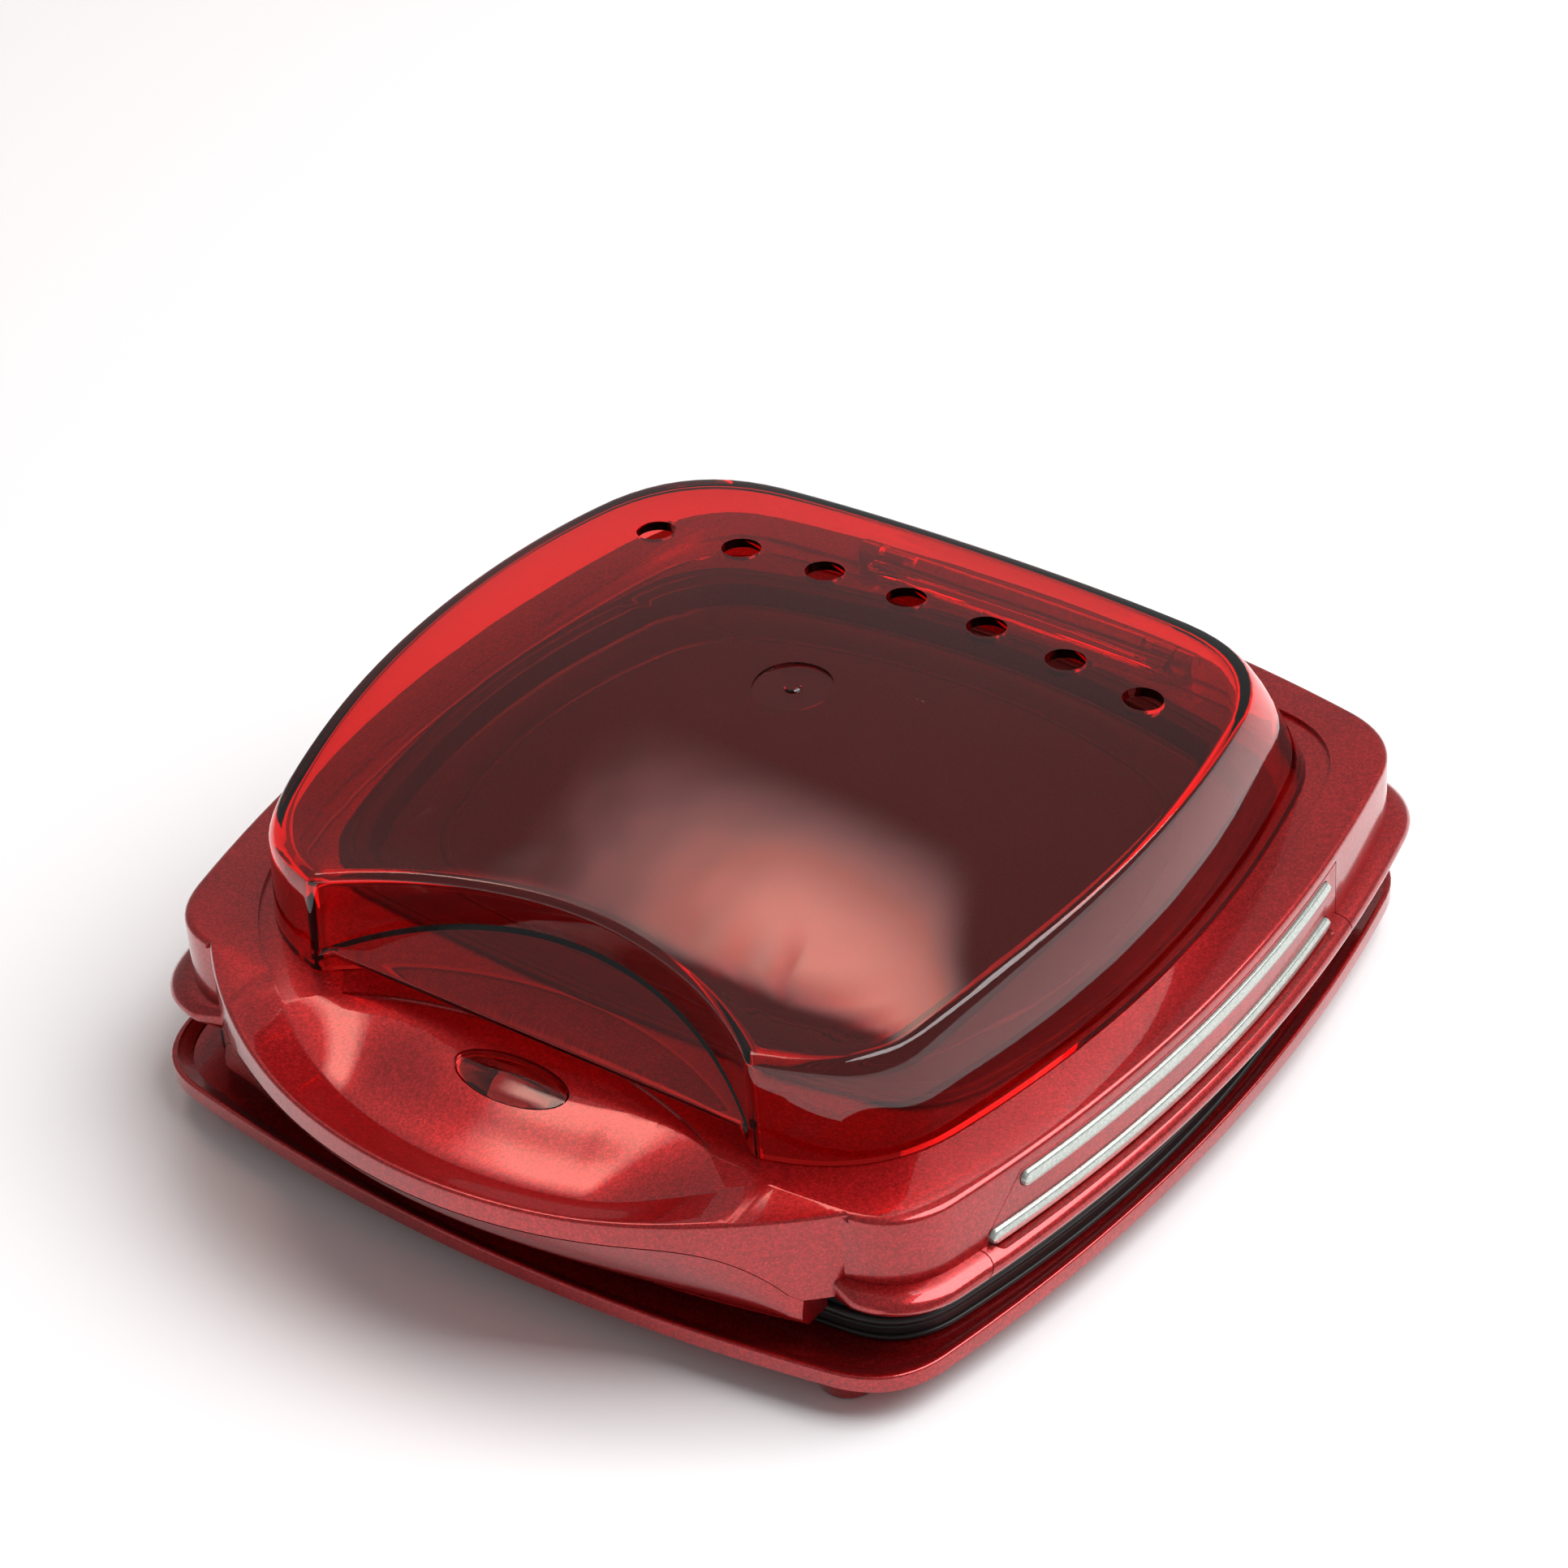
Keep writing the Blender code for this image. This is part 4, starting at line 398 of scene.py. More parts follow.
frame_low, frame_high = parting + fit, 0.0267
foot_round, wall_set_back, frame_wall, floor_height = 0.0014, 0.0016, 0.0030, 0.0034
crease_step, crease_rise, crease_top = 0.0002, 0.00003, 0.0003
head_radius, head_depth, shank_radius, shank_depth = 0.0032, 0.0022, 0.0018, 0.006
high_frame = [level(bowed(plate_plan, fit), frame_low)]
high_frame += [level(bowed(frame_plan, -foot_round + foot_round * c), frame_low + foot_round + foot_round * s)
               for c, s in arc(-90, 90, 12)]
high_frame += [level(bowed(frame_plan, -foot_round - crease_step), frame_low + 2 * foot_round + crease_rise),
               level(bowed(frame_plan, -wall_set_back), frame_low + 2 * foot_round + crease_top),
               level(bowed(frame_plan, -wall_set_back), frame_high),
               level(bowed(frame_plan, -frame_wall), frame_high),
               level(bowed(frame_plan, -frame_wall), frame_low + floor_height),
               level(bowed(plate_plan, fit), frame_low + floor_height)]
upper_frame = skin(high_frame, joined=True)
screw_places = [(x, y) for y in (-0.0822, 0.0950) for x in (-0.0880, 0.0880)]
screw_holes = [turned([(radius, frame_low - past), (radius, frame_low + depth)], place, 32)
               for radius, depth in ((head_radius, head_depth), (shank_radius, shank_depth))
               for place in screw_places]
upper_frame = combined(upper_frame, "DIFFERENCE", *screw_holes)
piece("upper_frame", upper_frame, black_moulding, "lid", ["upper_bezel"])


# Cooking plates
# Two die-cast aluminium plates under black nonstick coating, each with a round well for one patty
# and seven ridges across it.

def nonstick_coating(name, shades):
    """Sprayed and baked nonstick coating on aluminium: grey-black, with fine pale specks and a
    soft, slightly metallic sheen."""
    made, tree, place = finish_named(name)
    # Specks of mica, 0.2 mm across and 0.6 mm apart
    specks = add(tree, "ShaderNodeTexVoronoi", Vector=(place, "Object"), Scale=1 / 0.0006)
    shade = ramp(tree, (specks, "Distance"), tuple(zip((0.0, 0.18, 1.0), shades)))
    # The sprayed coat has a fine orange peel, 0.8 mm long
    peel = add(tree, "ShaderNodeTexNoise", Vector=(place, "Object"), Scale=1 / 0.0008, Detail=2.0)
    relief = add(tree, "ShaderNodeBump", Strength=0.3, Distance=0.00008, Height=(peel, "Fac"))
    closed_with(tree, Base_Color=(shade, "Color"), Metallic=0.25, Roughness=0.36, IOR=1.45,
                Normal=(relief, "Normal"))
    return made


well_radius, well_draft, plate_centre = 0.0580, 0.0020, 0.01055
ridge_count, ridge_pitch, ridge_width, ridge_height = 7, 0.0140, 0.0030, 0.0012
ridge_round, ridge_root = 0.0008, 0.0006
plate_round, well_round, well_foot_round, pan_round = 0.0006, 0.0008, 0.0010, 0.0020
plate_drop, well_depth, pan_depth, sheet = 0.0002, 0.0024, 0.0146, 0.0024
pan_flange = 0.0026


def well(radius, z):
    """A circle round the plate's centre, point by point in line with the plate's outline."""
    points = []
    for point in bowed(plate_plan):
        out = Vector((point.x, point.y - plate_centre)).normalized() * radius
        points.append(Vector((out.x, plate_centre + out.y, z)))
    return points


def ridge_bars(root, crest):
    """Rounded ridges across the well, from below its floor to their crests."""
    low, high = min(root, crest), max(root, crest)
    for k in range(ridge_count):
        y = (k - (ridge_count - 1) / 2) * ridge_pitch
        half = math.sqrt((well_radius - well_draft - 2 * ridge_width) ** 2 - y ** 2)
        shape = brick((-half, plate_centre + y - ridge_width / 2, low),
                      (half, plate_centre + y + ridge_width / 2, high))
        rim = [edge for edge in shape.edges if all(abs(vert.co.z - crest) < 1e-6 for vert in edge.verts)]
        bmesh.ops.bevel(shape, geom=rim, offset=ridge_round, segments=4, profile=0.5, affect="EDGES",
                        material=-1)
        yield closed_up(shape)


nonstick = nonstick_coating("baked black nonstick coating", ("4A4745", "262524", "1F1E1E"))
plate_top = parting - plate_drop
floor_z = plate_top - well_depth
loops = [level(bowed(plate_plan), flange_top + fit), level(bowed(plate_plan), plate_top - plate_round)]
loops += [level(bowed(plate_plan, -plate_round * (1 - c)), plate_top - plate_round * (1 - s))
          for c, s in arc(20, 90, 4)]
loops += [well(well_radius + well_round * (1 - c), plate_top - well_round * (1 - s)) for c, s in arc(90, 0, 5)]
loops += [well(well_radius - well_draft + well_foot_round * (1 - c), floor_z + well_foot_round * (1 - s))
          for c, s in arc(0, 90, 4)]
lower_plate = combined(skin(loops), "UNION", *ridge_bars(floor_z - ridge_root, floor_z + ridge_height))
piece("lower_plate", lower_plate, nonstick, "base", ["lower_cooking_plate"])

pan_low = parting + fit + plate_drop
pan_ceiling = pan_low + pan_depth
pan_top = pan_ceiling + sheet
loops = [well(well_radius - well_draft - pan_round, pan_ceiling)]
loops += [well(well_radius - well_draft - pan_round + pan_round * c, pan_ceiling - pan_round + pan_round * s)
          for c, s in arc(72, 0, 4)]
loops += [well(well_radius + well_round * (1 - c), pan_low + well_round * (1 - s)) for c, s in arc(0, 90, 5)]
loops += [level(bowed(plate_plan, -plate_round * (1 - c)), pan_low + plate_round * (1 - s))
          for c, s in arc(90, 0, 4)]
loops += [level(bowed(plate_plan), pan_low + pan_flange), well(well_radius + sheet, pan_low + pan_flange),
          well(well_radius - well_draft + sheet, pan_top)]
upper_plate = combined(skin(loops), "UNION", *ridge_bars(pan_ceiling + ridge_root, pan_ceiling - ridge_height))
piece("upper_plate", upper_plate, nonstick, "lid", ["upper_cooking_plate"])


# Heating elements, heat shields and small electrics
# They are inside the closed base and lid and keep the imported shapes: sheathed heating rings,
# aluminised steel shields, and white steatite bodies.

def steatite():
    """Pressed and fired ceramic: chalk white with faint mottling and a dry, even surface."""
    made, tree, place = finish_named("white steatite ceramic")
    # Pressed powder shows as mottling about 1 mm across
    mottle = add(tree, "ShaderNodeTexNoise", Vector=(place, "Object"), Scale=1 / 0.001, Detail=3.0)
    shade = ramp(tree, (mottle, "Fac"), ((0.3, "D9D5CC"), (0.7, "EAE7E0")))
    relief = add(tree, "ShaderNodeBump", Strength=0.2, Distance=0.0001, Height=(mottle, "Fac"))
    closed_with(tree, Base_Color=(shade, "Color"), Roughness=0.55, IOR=1.5, Normal=(relief, "Normal"))
    return made


sheath_steel = turned_steel("heat-tinted sheath steel", ("5A5754", "77736E"), 0.42)
aluminised_steel = turned_steel("aluminised sheet steel", ("A3A5A6", "B9BBBC"), 0.38)
ceramic = steatite()
for half in ("lower", "upper"):
    dress(f"{half}_heating_element", sheath_steel)
    dress(f"{half}_heat_shield", aluminised_steel)
for name in ("thermostat", "thermal_fuse", "terminal_block", "indicator_lamp"):
    dress(name, ceramic)


# The lid's housing
# One ABS moulding in the same lacquer: a low wall with a half-round bead along its foot, a flat
# ledge, and the upper half of the crescent handle with its dish. The bun cover stands in a shallow
# recess that runs forward into the dish.

housing_plan = dict(half_width=0.1087, front=-0.0969, back=0.1240, side_bow=0.0151, front_bow=0.0060,
                    back_bow=0.0140, rounding=0.0150)
opening_plan = {**housing_plan, "half_width": 0.0867, "front": -0.0569, "back": 0.0940}
cover_plan = {**housing_plan, "half_width": 0.0932, "front": -0.0820, "back": 0.1120,
              "front_bow": 0.0200, "back_bow": 0.0060, "rounding": 0.0200}
housing_bottom, housing_top = 0.0270, 0.0520
wall, ledge, edge_round = 0.0026, 0.0037, 0.0015
bead_proud, bead_height = 0.0045, 0.0062
recess_depth = 0.0011
bead_side, bead_front_end, bead_back_end, bead_fade = 0.0819, 0.0880, 0.0740, 0.0060

handle_radius, handle_half = 0.1300, 0.0945
handle_centre = -0.1380 + handle_radius
handle_root, hollow_half = 0.0014, 0.08295
band_height, band_drop, band_level_half, band_fall_run, band_power = 0.0446, 0.0260, 0.0500, 0.0400, 3.5
dish_depth, dish_lip, dish_floor = 0.0064, 0.0130, 0.0290
dish_angle, dish_fade_angle, dish_sweep, dish_over, dish_crease = 17, 23, 46.5, 0.0003, 0.0006
groove_radius, groove_width, groove_depth, groove_offset = 0.1450, 0.0044, 0.0009, 0.0160
groove_sweep, groove_tip_share, groove_lean = 22, 0.12, 0.0004
notch_radius, notch_apex = 0.1000, -0.0685
lens_y, lens_length, lens_width, lens_thick, lens_sink = -0.0988, 0.0320, 0.0140, 0.0016, 0.0002
lens_lip, lens_ground_bottom, lens_ground_top = 0.0013, 0.0450, 0.0002


def eased(t):
    """A smooth rise from 0 to 1."""
    t = min(max(t, 0), 1)
    return t * t * (3 - 2 * t)


def bead_share(point):
    """How much of the bead stands here: none under the handle and the hinge."""
    if abs(point.y) < bead_side:
        return 1
    return eased((abs(point.x) - (bead_front_end if point.y < 0 else bead_back_end)) / bead_fade)


def bead_section(steps=10):
    """(share of the bead's reach, height) up a half round."""
    for c, s in arc(-90, 90, steps):
        yield c, housing_bottom + bead_height * (1 + s) / 2


def housing_loop(z, bead=0, grow=0):
    """The housing's outline at one height, with a share of its bead."""
    inner, outer = level(bowed(housing_plan, grow), z), level(bowed(housing_plan, grow + bead_proud), z)
    return [p.lerp(q, bead * bead_share(p)) for p, q in zip(inner, outer)]


def handle_front(x, radius=handle_radius):
    """Where the handle's front edge lies."""
    return handle_centre - math.sqrt(radius ** 2 - x ** 2)


def wall_front(x):
    """Where the housing's front wall stands behind the handle."""
    return housing_plan["front"] - housing_plan["front_bow"] * (1 - (x / housing_plan["half_width"]) ** 2)


def band_bottom(x):
    """Lower edge of the handle's upper band, which falls towards its ends."""
    share = min(max((abs(x) - band_level_half) / band_fall_run, 0), 1)
    return max(band_height - band_drop * share ** band_power, housing_bottom + 0.0010)


def dish_height(x, y):
    """The handle's top: a lip that slopes inwards, then a floor that rises to the ledge."""
    angle = abs(math.atan2(x, handle_centre - y))
    across = 1 - eased((angle - math.radians(dish_angle)) / math.radians(dish_fade_angle))
    inwards = handle_radius - math.hypot(x, y - handle_centre)
    lip = min(max(inwards / dish_lip, 0), 1)
    rise = eased(1 - (inwards - dish_lip) / dish_floor)
    edge = min(max(1 - inwards / edge_round, 0), 1)
    rounding = edge_round * (1 - math.sqrt(1 - edge ** 2))
    return housing_top + dish_over - across * (recess_depth + dish_depth * lip * rise) - rounding


def handle_top(x, y):
    """The dish, or the recess where that is lower."""
    return min(dish_height(x, y), housing_top - recess_depth)


def spread(half, count):
    """Evenly spaced places from one side to the other."""
    return [half * (2 * k / count - 1) for k in range(count + 1)]


def crosswise(xs, section):
    """A skin through the sections (y, z) at each x."""
    return skin([[Vector((x, y, z)) for y, z in section(x)] for x in xs])


def handle_section(x):
    """The handle's upper half, solid, at x."""
    back = wall_front(x) + handle_root
    front = min(handle_front(x), back - 0.0001)
    top = housing_top - 0.0001
    return [(back, top)] + [(front, z) for z in (top, band_bottom(x))] + [(back, band_bottom(x))]


def hollow_section(x):
    """The space under the handle's skin at x."""
    back = wall_front(x) - fit
    front = handle_front(x, handle_radius - wall)
    low = housing_bottom - past
    over = [(y, handle_top(x, y) - wall) for y in (back + (front - back) * k / 8 for k in range(9))]
    return [(back, low)] + over + [(front, low)]


def dish_tool():
    """What the dish takes off the handle and the ledge, in rows round the handle."""
    inwards = [dish_lip + dish_floor * k / 14 for k in range(14, 0, -1)]
    inwards += [dish_lip + dish_crease, dish_lip, dish_lip - dish_crease]
    inwards += [dish_lip * share for share in (0.75, 0.5, 0.25)]
    inwards += [edge_round * share for share in (1, 0.7, 0.45, 0.25, 0.1, 0.02)] + [0, -past]
    rows = []
    for share in spread(1, 96):
        angle = math.radians(dish_sweep) * share
        row = []
        for depth in inwards:
            radius = handle_radius - depth
            x, y = radius * math.sin(angle), handle_centre - radius * math.cos(angle)
            row.append(Vector((x, y, dish_height(x, y) - max(-depth, 0))))
        rows.append(row + [Vector((row[-1].x, row[-1].y, housing_top + 2 * past)),
                           Vector((row[0].x, row[0].y, housing_top + 2 * past))])
    return skin(rows)


def groove_tool():
    """A crescent groove in the dish, with flanks that lean outwards."""
    centre = notch_apex - groove_offset - groove_radius

    def place(angle, offset):
        radius = groove_radius + offset
        return radius * math.sin(angle), centre + radius * math.cos(angle)
    rows = []
    for share in spread(1, 48):
        angle = math.radians(groove_sweep) * share
        half = groove_width / 2 * max(math.sqrt(1 - share ** 2), groove_tip_share)
        section = []
        for offset, sink in ((-half, 0.6), (-half * 0.8, 1), (half * 0.8, 1), (half, 0.6)):
            x, y = place(angle, offset)
            section.append(Vector((x, y, handle_top(x, y) - groove_depth * sink)))
        for offset in (half + groove_lean, -half - groove_lean):
            section.append(Vector((*place(angle, offset), housing_top + past)))
        rows.append(section)
    return skin(rows)


def oval(margin, height, share=1, count=72):
    """A loop of the lens's outline at a rule of (x, y)."""
    points = []
    for k in range(count):
        angle = 2 * math.pi * (k + 0.5) / count
        x = (lens_length / 2 + margin) * share * math.cos(angle)
        y = lens_y + (lens_width / 2 + margin) * share * math.sin(angle)
        points.append(Vector((x, y, height(x, y))))
    return points


def side_wall(y, grow):
    """Where the right wall stands at y."""
    low, high = housing_plan["front"] - grow, housing_plan["back"] + grow
    t = (y - low) / (high - low)
    return housing_plan["half_width"] + grow + 4 * housing_plan["side_bow"] * t * (1 - t)


def along_wall(side, ends, section, steps=40):
    """A skin along a side wall, through a section of (grow, z) pairs. The ends depend on z."""
    rows = []
    for k in range(steps + 1):
        row = []
        for grow, z in section:
            start, end = ends(z)
            y = start + (end - start) * k / steps
            row.append(Vector((side * side_wall(y, grow), y, z)))
        rows.append(row)
    return skin(rows)


panel_thick, panel_top = 0.0013, housing_top - 0.0032
panel_front, panel_front_lean, panel_back = -0.0800, 0.0185, 0.0740


def panel_ends(z, margin=0):
    """Where the side panel starts and ends at a height: its front end leans."""
    share = (z - housing_bottom) / (panel_top - housing_bottom)
    return panel_front + panel_front_lean * share - margin, panel_back + margin


def through_back_wall(shape, x=0.0300, z=0.0400):
    """Turns an upright shape so that its top points out of the back wall."""
    share = x / housing_plan["half_width"]
    y = housing_plan["back"] + housing_plan["back_bow"] * (1 - share ** 2)
    slope = 2 * housing_plan["back_bow"] * share / housing_plan["half_width"]
    lean = Matrix.Rotation(-math.atan(slope), 4, "Z") @ Matrix.Rotation(-math.pi / 2, 4, "X")
    bmesh.ops.transform(shape, matrix=Matrix.Translation((x, y, z)) @ lean, verts=shape.verts)
    return shape


cover_axis = Vector((0, 0.1222, 0.0559))
cover_barrel, cover_pin, cover_half, post_width = 0.0036, 0.0015, 0.0460, 0.0056
ear_inner, ear_outer, hinge_play, hinge_back = 0.0440, 0.0510, 0.0015, 0.1455
cord_hole_radius, cord_hole_depth = 0.0058, 0.0056

loops = [housing_loop(z, bead) for bead, z in bead_section()]
loops += [housing_loop(housing_top - edge_round * (1 - s), grow=-edge_round * (1 - c))
          for c, s in arc(0, 90, 6)]
loops += [level(bowed(opening_plan), housing_top), level(bowed(opening_plan), housing_top - ledge),
          level(bowed(housing_plan, -wall), housing_top - ledge),
          level(bowed(housing_plan, -wall), housing_bottom)]
housing = skin(loops, joined=True)
housing = combined(housing, "UNION", crosswise(spread(handle_half, 90), handle_section))
housing = combined(housing, "DIFFERENCE", crosswise(spread(hollow_half, 80), hollow_section))
lens_ground = brick((-0.018, lens_y - 0.009, lens_ground_bottom),
                    (0.018, lens_y + 0.009, housing_top - lens_ground_top))
housing = combined(housing, "UNION", lens_ground)
recess = bowed(cover_plan, front=-0.0801, half_width=0.0977, back=0.1165, front_bow=0.0440)
recess = skin([level(recess, housing_top - recess_depth), level(recess, housing_top + past)])
lens_seat = skin([oval(fit, lambda x, y: handle_top(x, y) - lens_sink - lens_thick - fit, share)
                  for share in (0.4, 1)] + [oval(fit, lambda x, y: housing_top + past)])
lens_window = skin([oval(-lens_lip, lambda x, y: lens_ground_bottom - past),
                    oval(-lens_lip, lambda x, y: housing_top)])
pocket = [(-panel_thick - fit, housing_bottom - past), (bead_proud + past, housing_bottom - past),
          (bead_proud + past, panel_top + fit), (-panel_thick - fit, panel_top + fit)]
pockets = [along_wall(side, lambda z: panel_ends(z, fit), pocket) for side in (-1, 1)]
housing = combined(housing, "DIFFERENCE", recess, dish_tool(), groove_tool(), lens_seat, lens_window,
                   *pockets)
notches, ears, posts, bores = [], [], [], []
for side in (-1, 1):
    start, end = stretch(side, tower_inner, tower_inner + tower_width)
    reach = lid_barrel + hinge_play
    notches.append(brick((start - hinge_play, lid_axis.y - reach, housing_bottom - past),
                         (end + hinge_play, hinge_back, lid_axis.z + reach)))
    start, end = stretch(side, ear_inner, ear_outer)
    ears.append(lug(start, end, lid_axis, lid_barrel, housing_top - ledge / 2))
    bores.append(bar(lid_pin + pin_play, start - past, end + past, lid_axis.y, lid_axis.z))
    start, end = stretch(side, cover_half + fit, cover_half + fit + post_width)
    posts.append(lug(start, end, cover_axis, cover_barrel, housing_top - ledge / 2))
    bores.append(bar(cover_pin + pin_play, start - past, end + past, cover_axis.y, cover_axis.z))
cord_hole = through_back_wall(turned([(cord_hole_radius, -cord_hole_depth), (cord_hole_radius, past)]))
housing = combined(housing, "DIFFERENCE", *notches)
housing = combined(housing, "UNION", *ears, *posts)
housing = combined(housing, "DIFFERENCE", *bores, cord_hole)
piece("lid_housing", housing, red_lacquer, "lid", ["upper_shell"])


# The handle's underside
# A second lacquered moulding below the band: one face that curves from the seam down to the lip
# under which the fingers take hold.

lip_bottom, lip_half = 0.0198, 0.08635
grip_set_back, grip_end_reach, grip_round, grip_skin, grip_swell = 0.0126, 0.0110, 0.0010, 0.0025, 0.0024
grip_root, grip_end_root = 0.0030, 0.0009


def underside_section(x):
    """The grip's section at x: a curved skin, closed across at its two ends."""
    share = (x / lip_half) ** 2
    top_y, top_z = handle_front(x), band_bottom(x) - fit
    wall_y = wall_front(x) - fit
    back = wall_y + grip_root
    low_y = wall_front(0) - grip_set_back + grip_end_reach * share
    mid = Vector(((top_y + low_y) / 2 - grip_swell, (top_z + lip_bottom) / 2 - grip_swell))
    face = []
    for k in range(11):
        t = k / 10
        point = (Vector((top_y, top_z)) * (1 - t) ** 2 + mid * (2 * t * (1 - t))
                 + Vector((low_y, lip_bottom + grip_round)) * t ** 2)
        face.append((point.x, point.y))
    rounded = [(low_y + grip_round * (1 - c), lip_bottom + grip_round * (1 - s)) for c, s in arc(20, 90, 4)]
    inside = [(y + grip_skin, z) for y, z in reversed(face[1:-1:3])]
    seat_z = housing_bottom - 2 * fit
    if abs(x) < lip_half - wall:
        return face + rounded + [(back, lip_bottom), (back, lip_bottom + grip_skin),
                                 (low_y + grip_skin, lip_bottom + grip_skin)] + inside + [(top_y + wall, top_z)]
    end_y = wall_y - grip_end_root
    return face + rounded + [(back, lip_bottom), (back, seat_z),
                             (end_y, seat_z)] + [(end_y, top_z)] * len(inside) + [(top_y + wall, top_z)]


inner_xs = [x for x in spread(lip_half, 90) if abs(x) < lip_half - wall - 0.0001]
stations = [-lip_half, -lip_half + wall, *inner_xs, lip_half - wall, lip_half]
grip = crosswise(stations, underside_section)
bmesh.ops.remove_doubles(grip, verts=grip.verts, dist=1e-6)
piece("handle_grip", closed_up(grip), red_lacquer, "lid", ["handle_underside"])


# Side panels and silver strips
# Each side has a lacquered panel let into the wall, with a hairline seam round it, and two pressed-in
# plastic strips in satin silver with rounded ends.

def satin_silver():
    """Silver lacquer on pressed-in plastic strips: fine aluminium flakes, bright but not mirror-like."""
    made, tree, place = finish_named("satin silver lacquer")
    # Flakes are 0.05 mm across; the grains drawn are 0.4 mm
    flakes = add(tree, "ShaderNodeTexVoronoi", Vector=(place, "Object"), Scale=1 / 0.0004)
    shade = ramp(tree, (flakes, "Color"), ((0.0, "AEB8B1"), (1.0, "D6DDD7")))
    relief = add(tree, "ShaderNodeBump", Strength=0.12, Distance=0.00008, Height=(flakes, "Distance"))
    closed_with(tree, Base_Color=(shade, "Color"), Metallic=0.75, Roughness=0.30, Normal=(relief, "Normal"),
                Coat_Weight=0.4, Coat_Roughness=0.08)
    return made


silver = satin_silver()
strip_half, strip_back, strip_proud, strip_sink = 0.0021, 0.0685, 0.0012, -0.0005
strip_flank, strip_bed, panel_round = 0.55, 0.0004, 0.0004


def strip(side, z, front, margin=0, inner=0.0, outer=0.0):
    """A strip with rounded ends and a crowned face, laid along the wall."""
    half = strip_half + margin
    start, end = front - margin, strip_back + margin
    stations = [(start + half * (1 - c), half * s) for c, s in arc(8, 90, 8)]
    middle = [(start + half + (end - start - 2 * half) * k / 40, half) for k in range(1, 40)]
    stations = stations + middle + [(start + end - y, h) for y, h in reversed(stations)]
    low, high = strip_sink - inner, strip_proud + outer
    rows = []
    for y, h in stations:
        face = [(low + (high - low) * (strip_flank + (1 - strip_flank) * s), h * c) for c, s in arc(0, 180, 10)]
        section = [(low, h)] + face + [(low, -h)]
        rows.append([Vector((side * side_wall(y, grow), y, z + rise)) for grow, rise in section])
    return skin(rows)


strip_levels = (("upper", housing_top - 0.0065, -0.0618), ("lower", housing_top - 0.0173, -0.0722))
panel_section = [(bead_proud * share, z) for share, z in bead_section()]
panel_section += [(-panel_round * (1 - c), panel_top - panel_round * (1 - s)) for c, s in arc(0, 90, 3)]
panel_section += [(-panel_thick, panel_top), (-panel_thick, housing_bottom)]
for side, label in ((-1, "left"), (1, "right")):
    panel = along_wall(side, panel_ends, panel_section)
    beds = [strip(side, z, front, fit, strip_bed, past) for _, z, front in strip_levels]
    panel = combined(panel, "DIFFERENCE", *beds)
    piece(f"{label}_panel", panel, red_lacquer, "lid", [f"side_panel_{label}"])
    for height, z, front in strip_levels:
        piece(f"{label}_{height}_strip", strip(side, z, front), silver, "lid",
              [f"trim_strip_{height}_{label}"])


# The indicator's window
# A clear red oval pressed into the dish, over the lamp.

def clear_red(name, density, tint):
    """Clear red polycarbonate, injection moulded and polished: light passes straight through and
    turns a deep red, deeper where the wall is seen along its length, under a sharp gloss."""
    made, tree, place = finish_named(name)
    # Flow in the mould leaves very soft waves about 12 mm long
    waves = add(tree, "ShaderNodeTexNoise", Vector=(place, "Object"), Scale=1 / 0.012, Detail=0.0)
    relief = add(tree, "ShaderNodeBump", Strength=0.05, Distance=0.0004, Height=(waves, "Fac"))
    shader = add(tree, "ShaderNodeBsdfPrincipled", Base_Color=linear("FFFFFF"), Roughness=0.0, IOR=1.585,
                 Transmission_Weight=1.0, Normal=(relief, "Normal"))
    depth = add(tree, "ShaderNodeVolumeAbsorption", Color=linear(tint), Density=density)
    add(tree, "ShaderNodeOutputMaterial", Surface=(shader, "BSDF"), Volume=(depth, "Volume"))
    return made


clear_cover = clear_red("clear red polycarbonate", 700.0, "FC3000")
lens_edge, lens_swell = 0.0003, 0.0005
window = skin([oval(0, lambda x, y: handle_top(x, y) - lens_sink - lens_thick, share)
               for share in (0.3, 0.7, 1)]
              + [oval(0, lambda x, y: handle_top(x, y) - lens_sink - lens_edge),
                 oval(-lens_edge, lambda x, y: handle_top(x, y) - lens_sink)]
              + [oval(-lens_edge, lambda x, y: handle_top(x, y) - lens_sink + lens_swell * (1 - share ** 2),
                      share) for share in (0.85, 0.65, 0.4, 0.15)])
piece("indicator_window", window, clear_cover, "lid", ["indicator_lens"])


# The bun warming plate
# A shallow pressed dish in the same nonstick coating. Its flange lies on the ledge and is held by
# the lid's screws. Low raised lines run along the flange and round the floor.

dish_sheet = 0.0010
dish_top = housing_top - recess_depth + fit + dish_sheet
dish_bottom, floor_drop, flange_reach, flange_edge = 0.0072, 0.0062, 0.0030, 0.0003
line_half, line_height, bend_round = 0.0008, 0.0006, 0.0008


def cover_back(x):
    """Where the cover's back wall stands at x."""
    return cover_plan["back"] + cover_plan["back_bow"] * (1 - (x / cover_plan["half_width"]) ** 2)


def dish_loop(grow, z):
    """The opening's outline, grown or shrunk, at one height."""
    return level(bowed(opening_plan, grow), z)


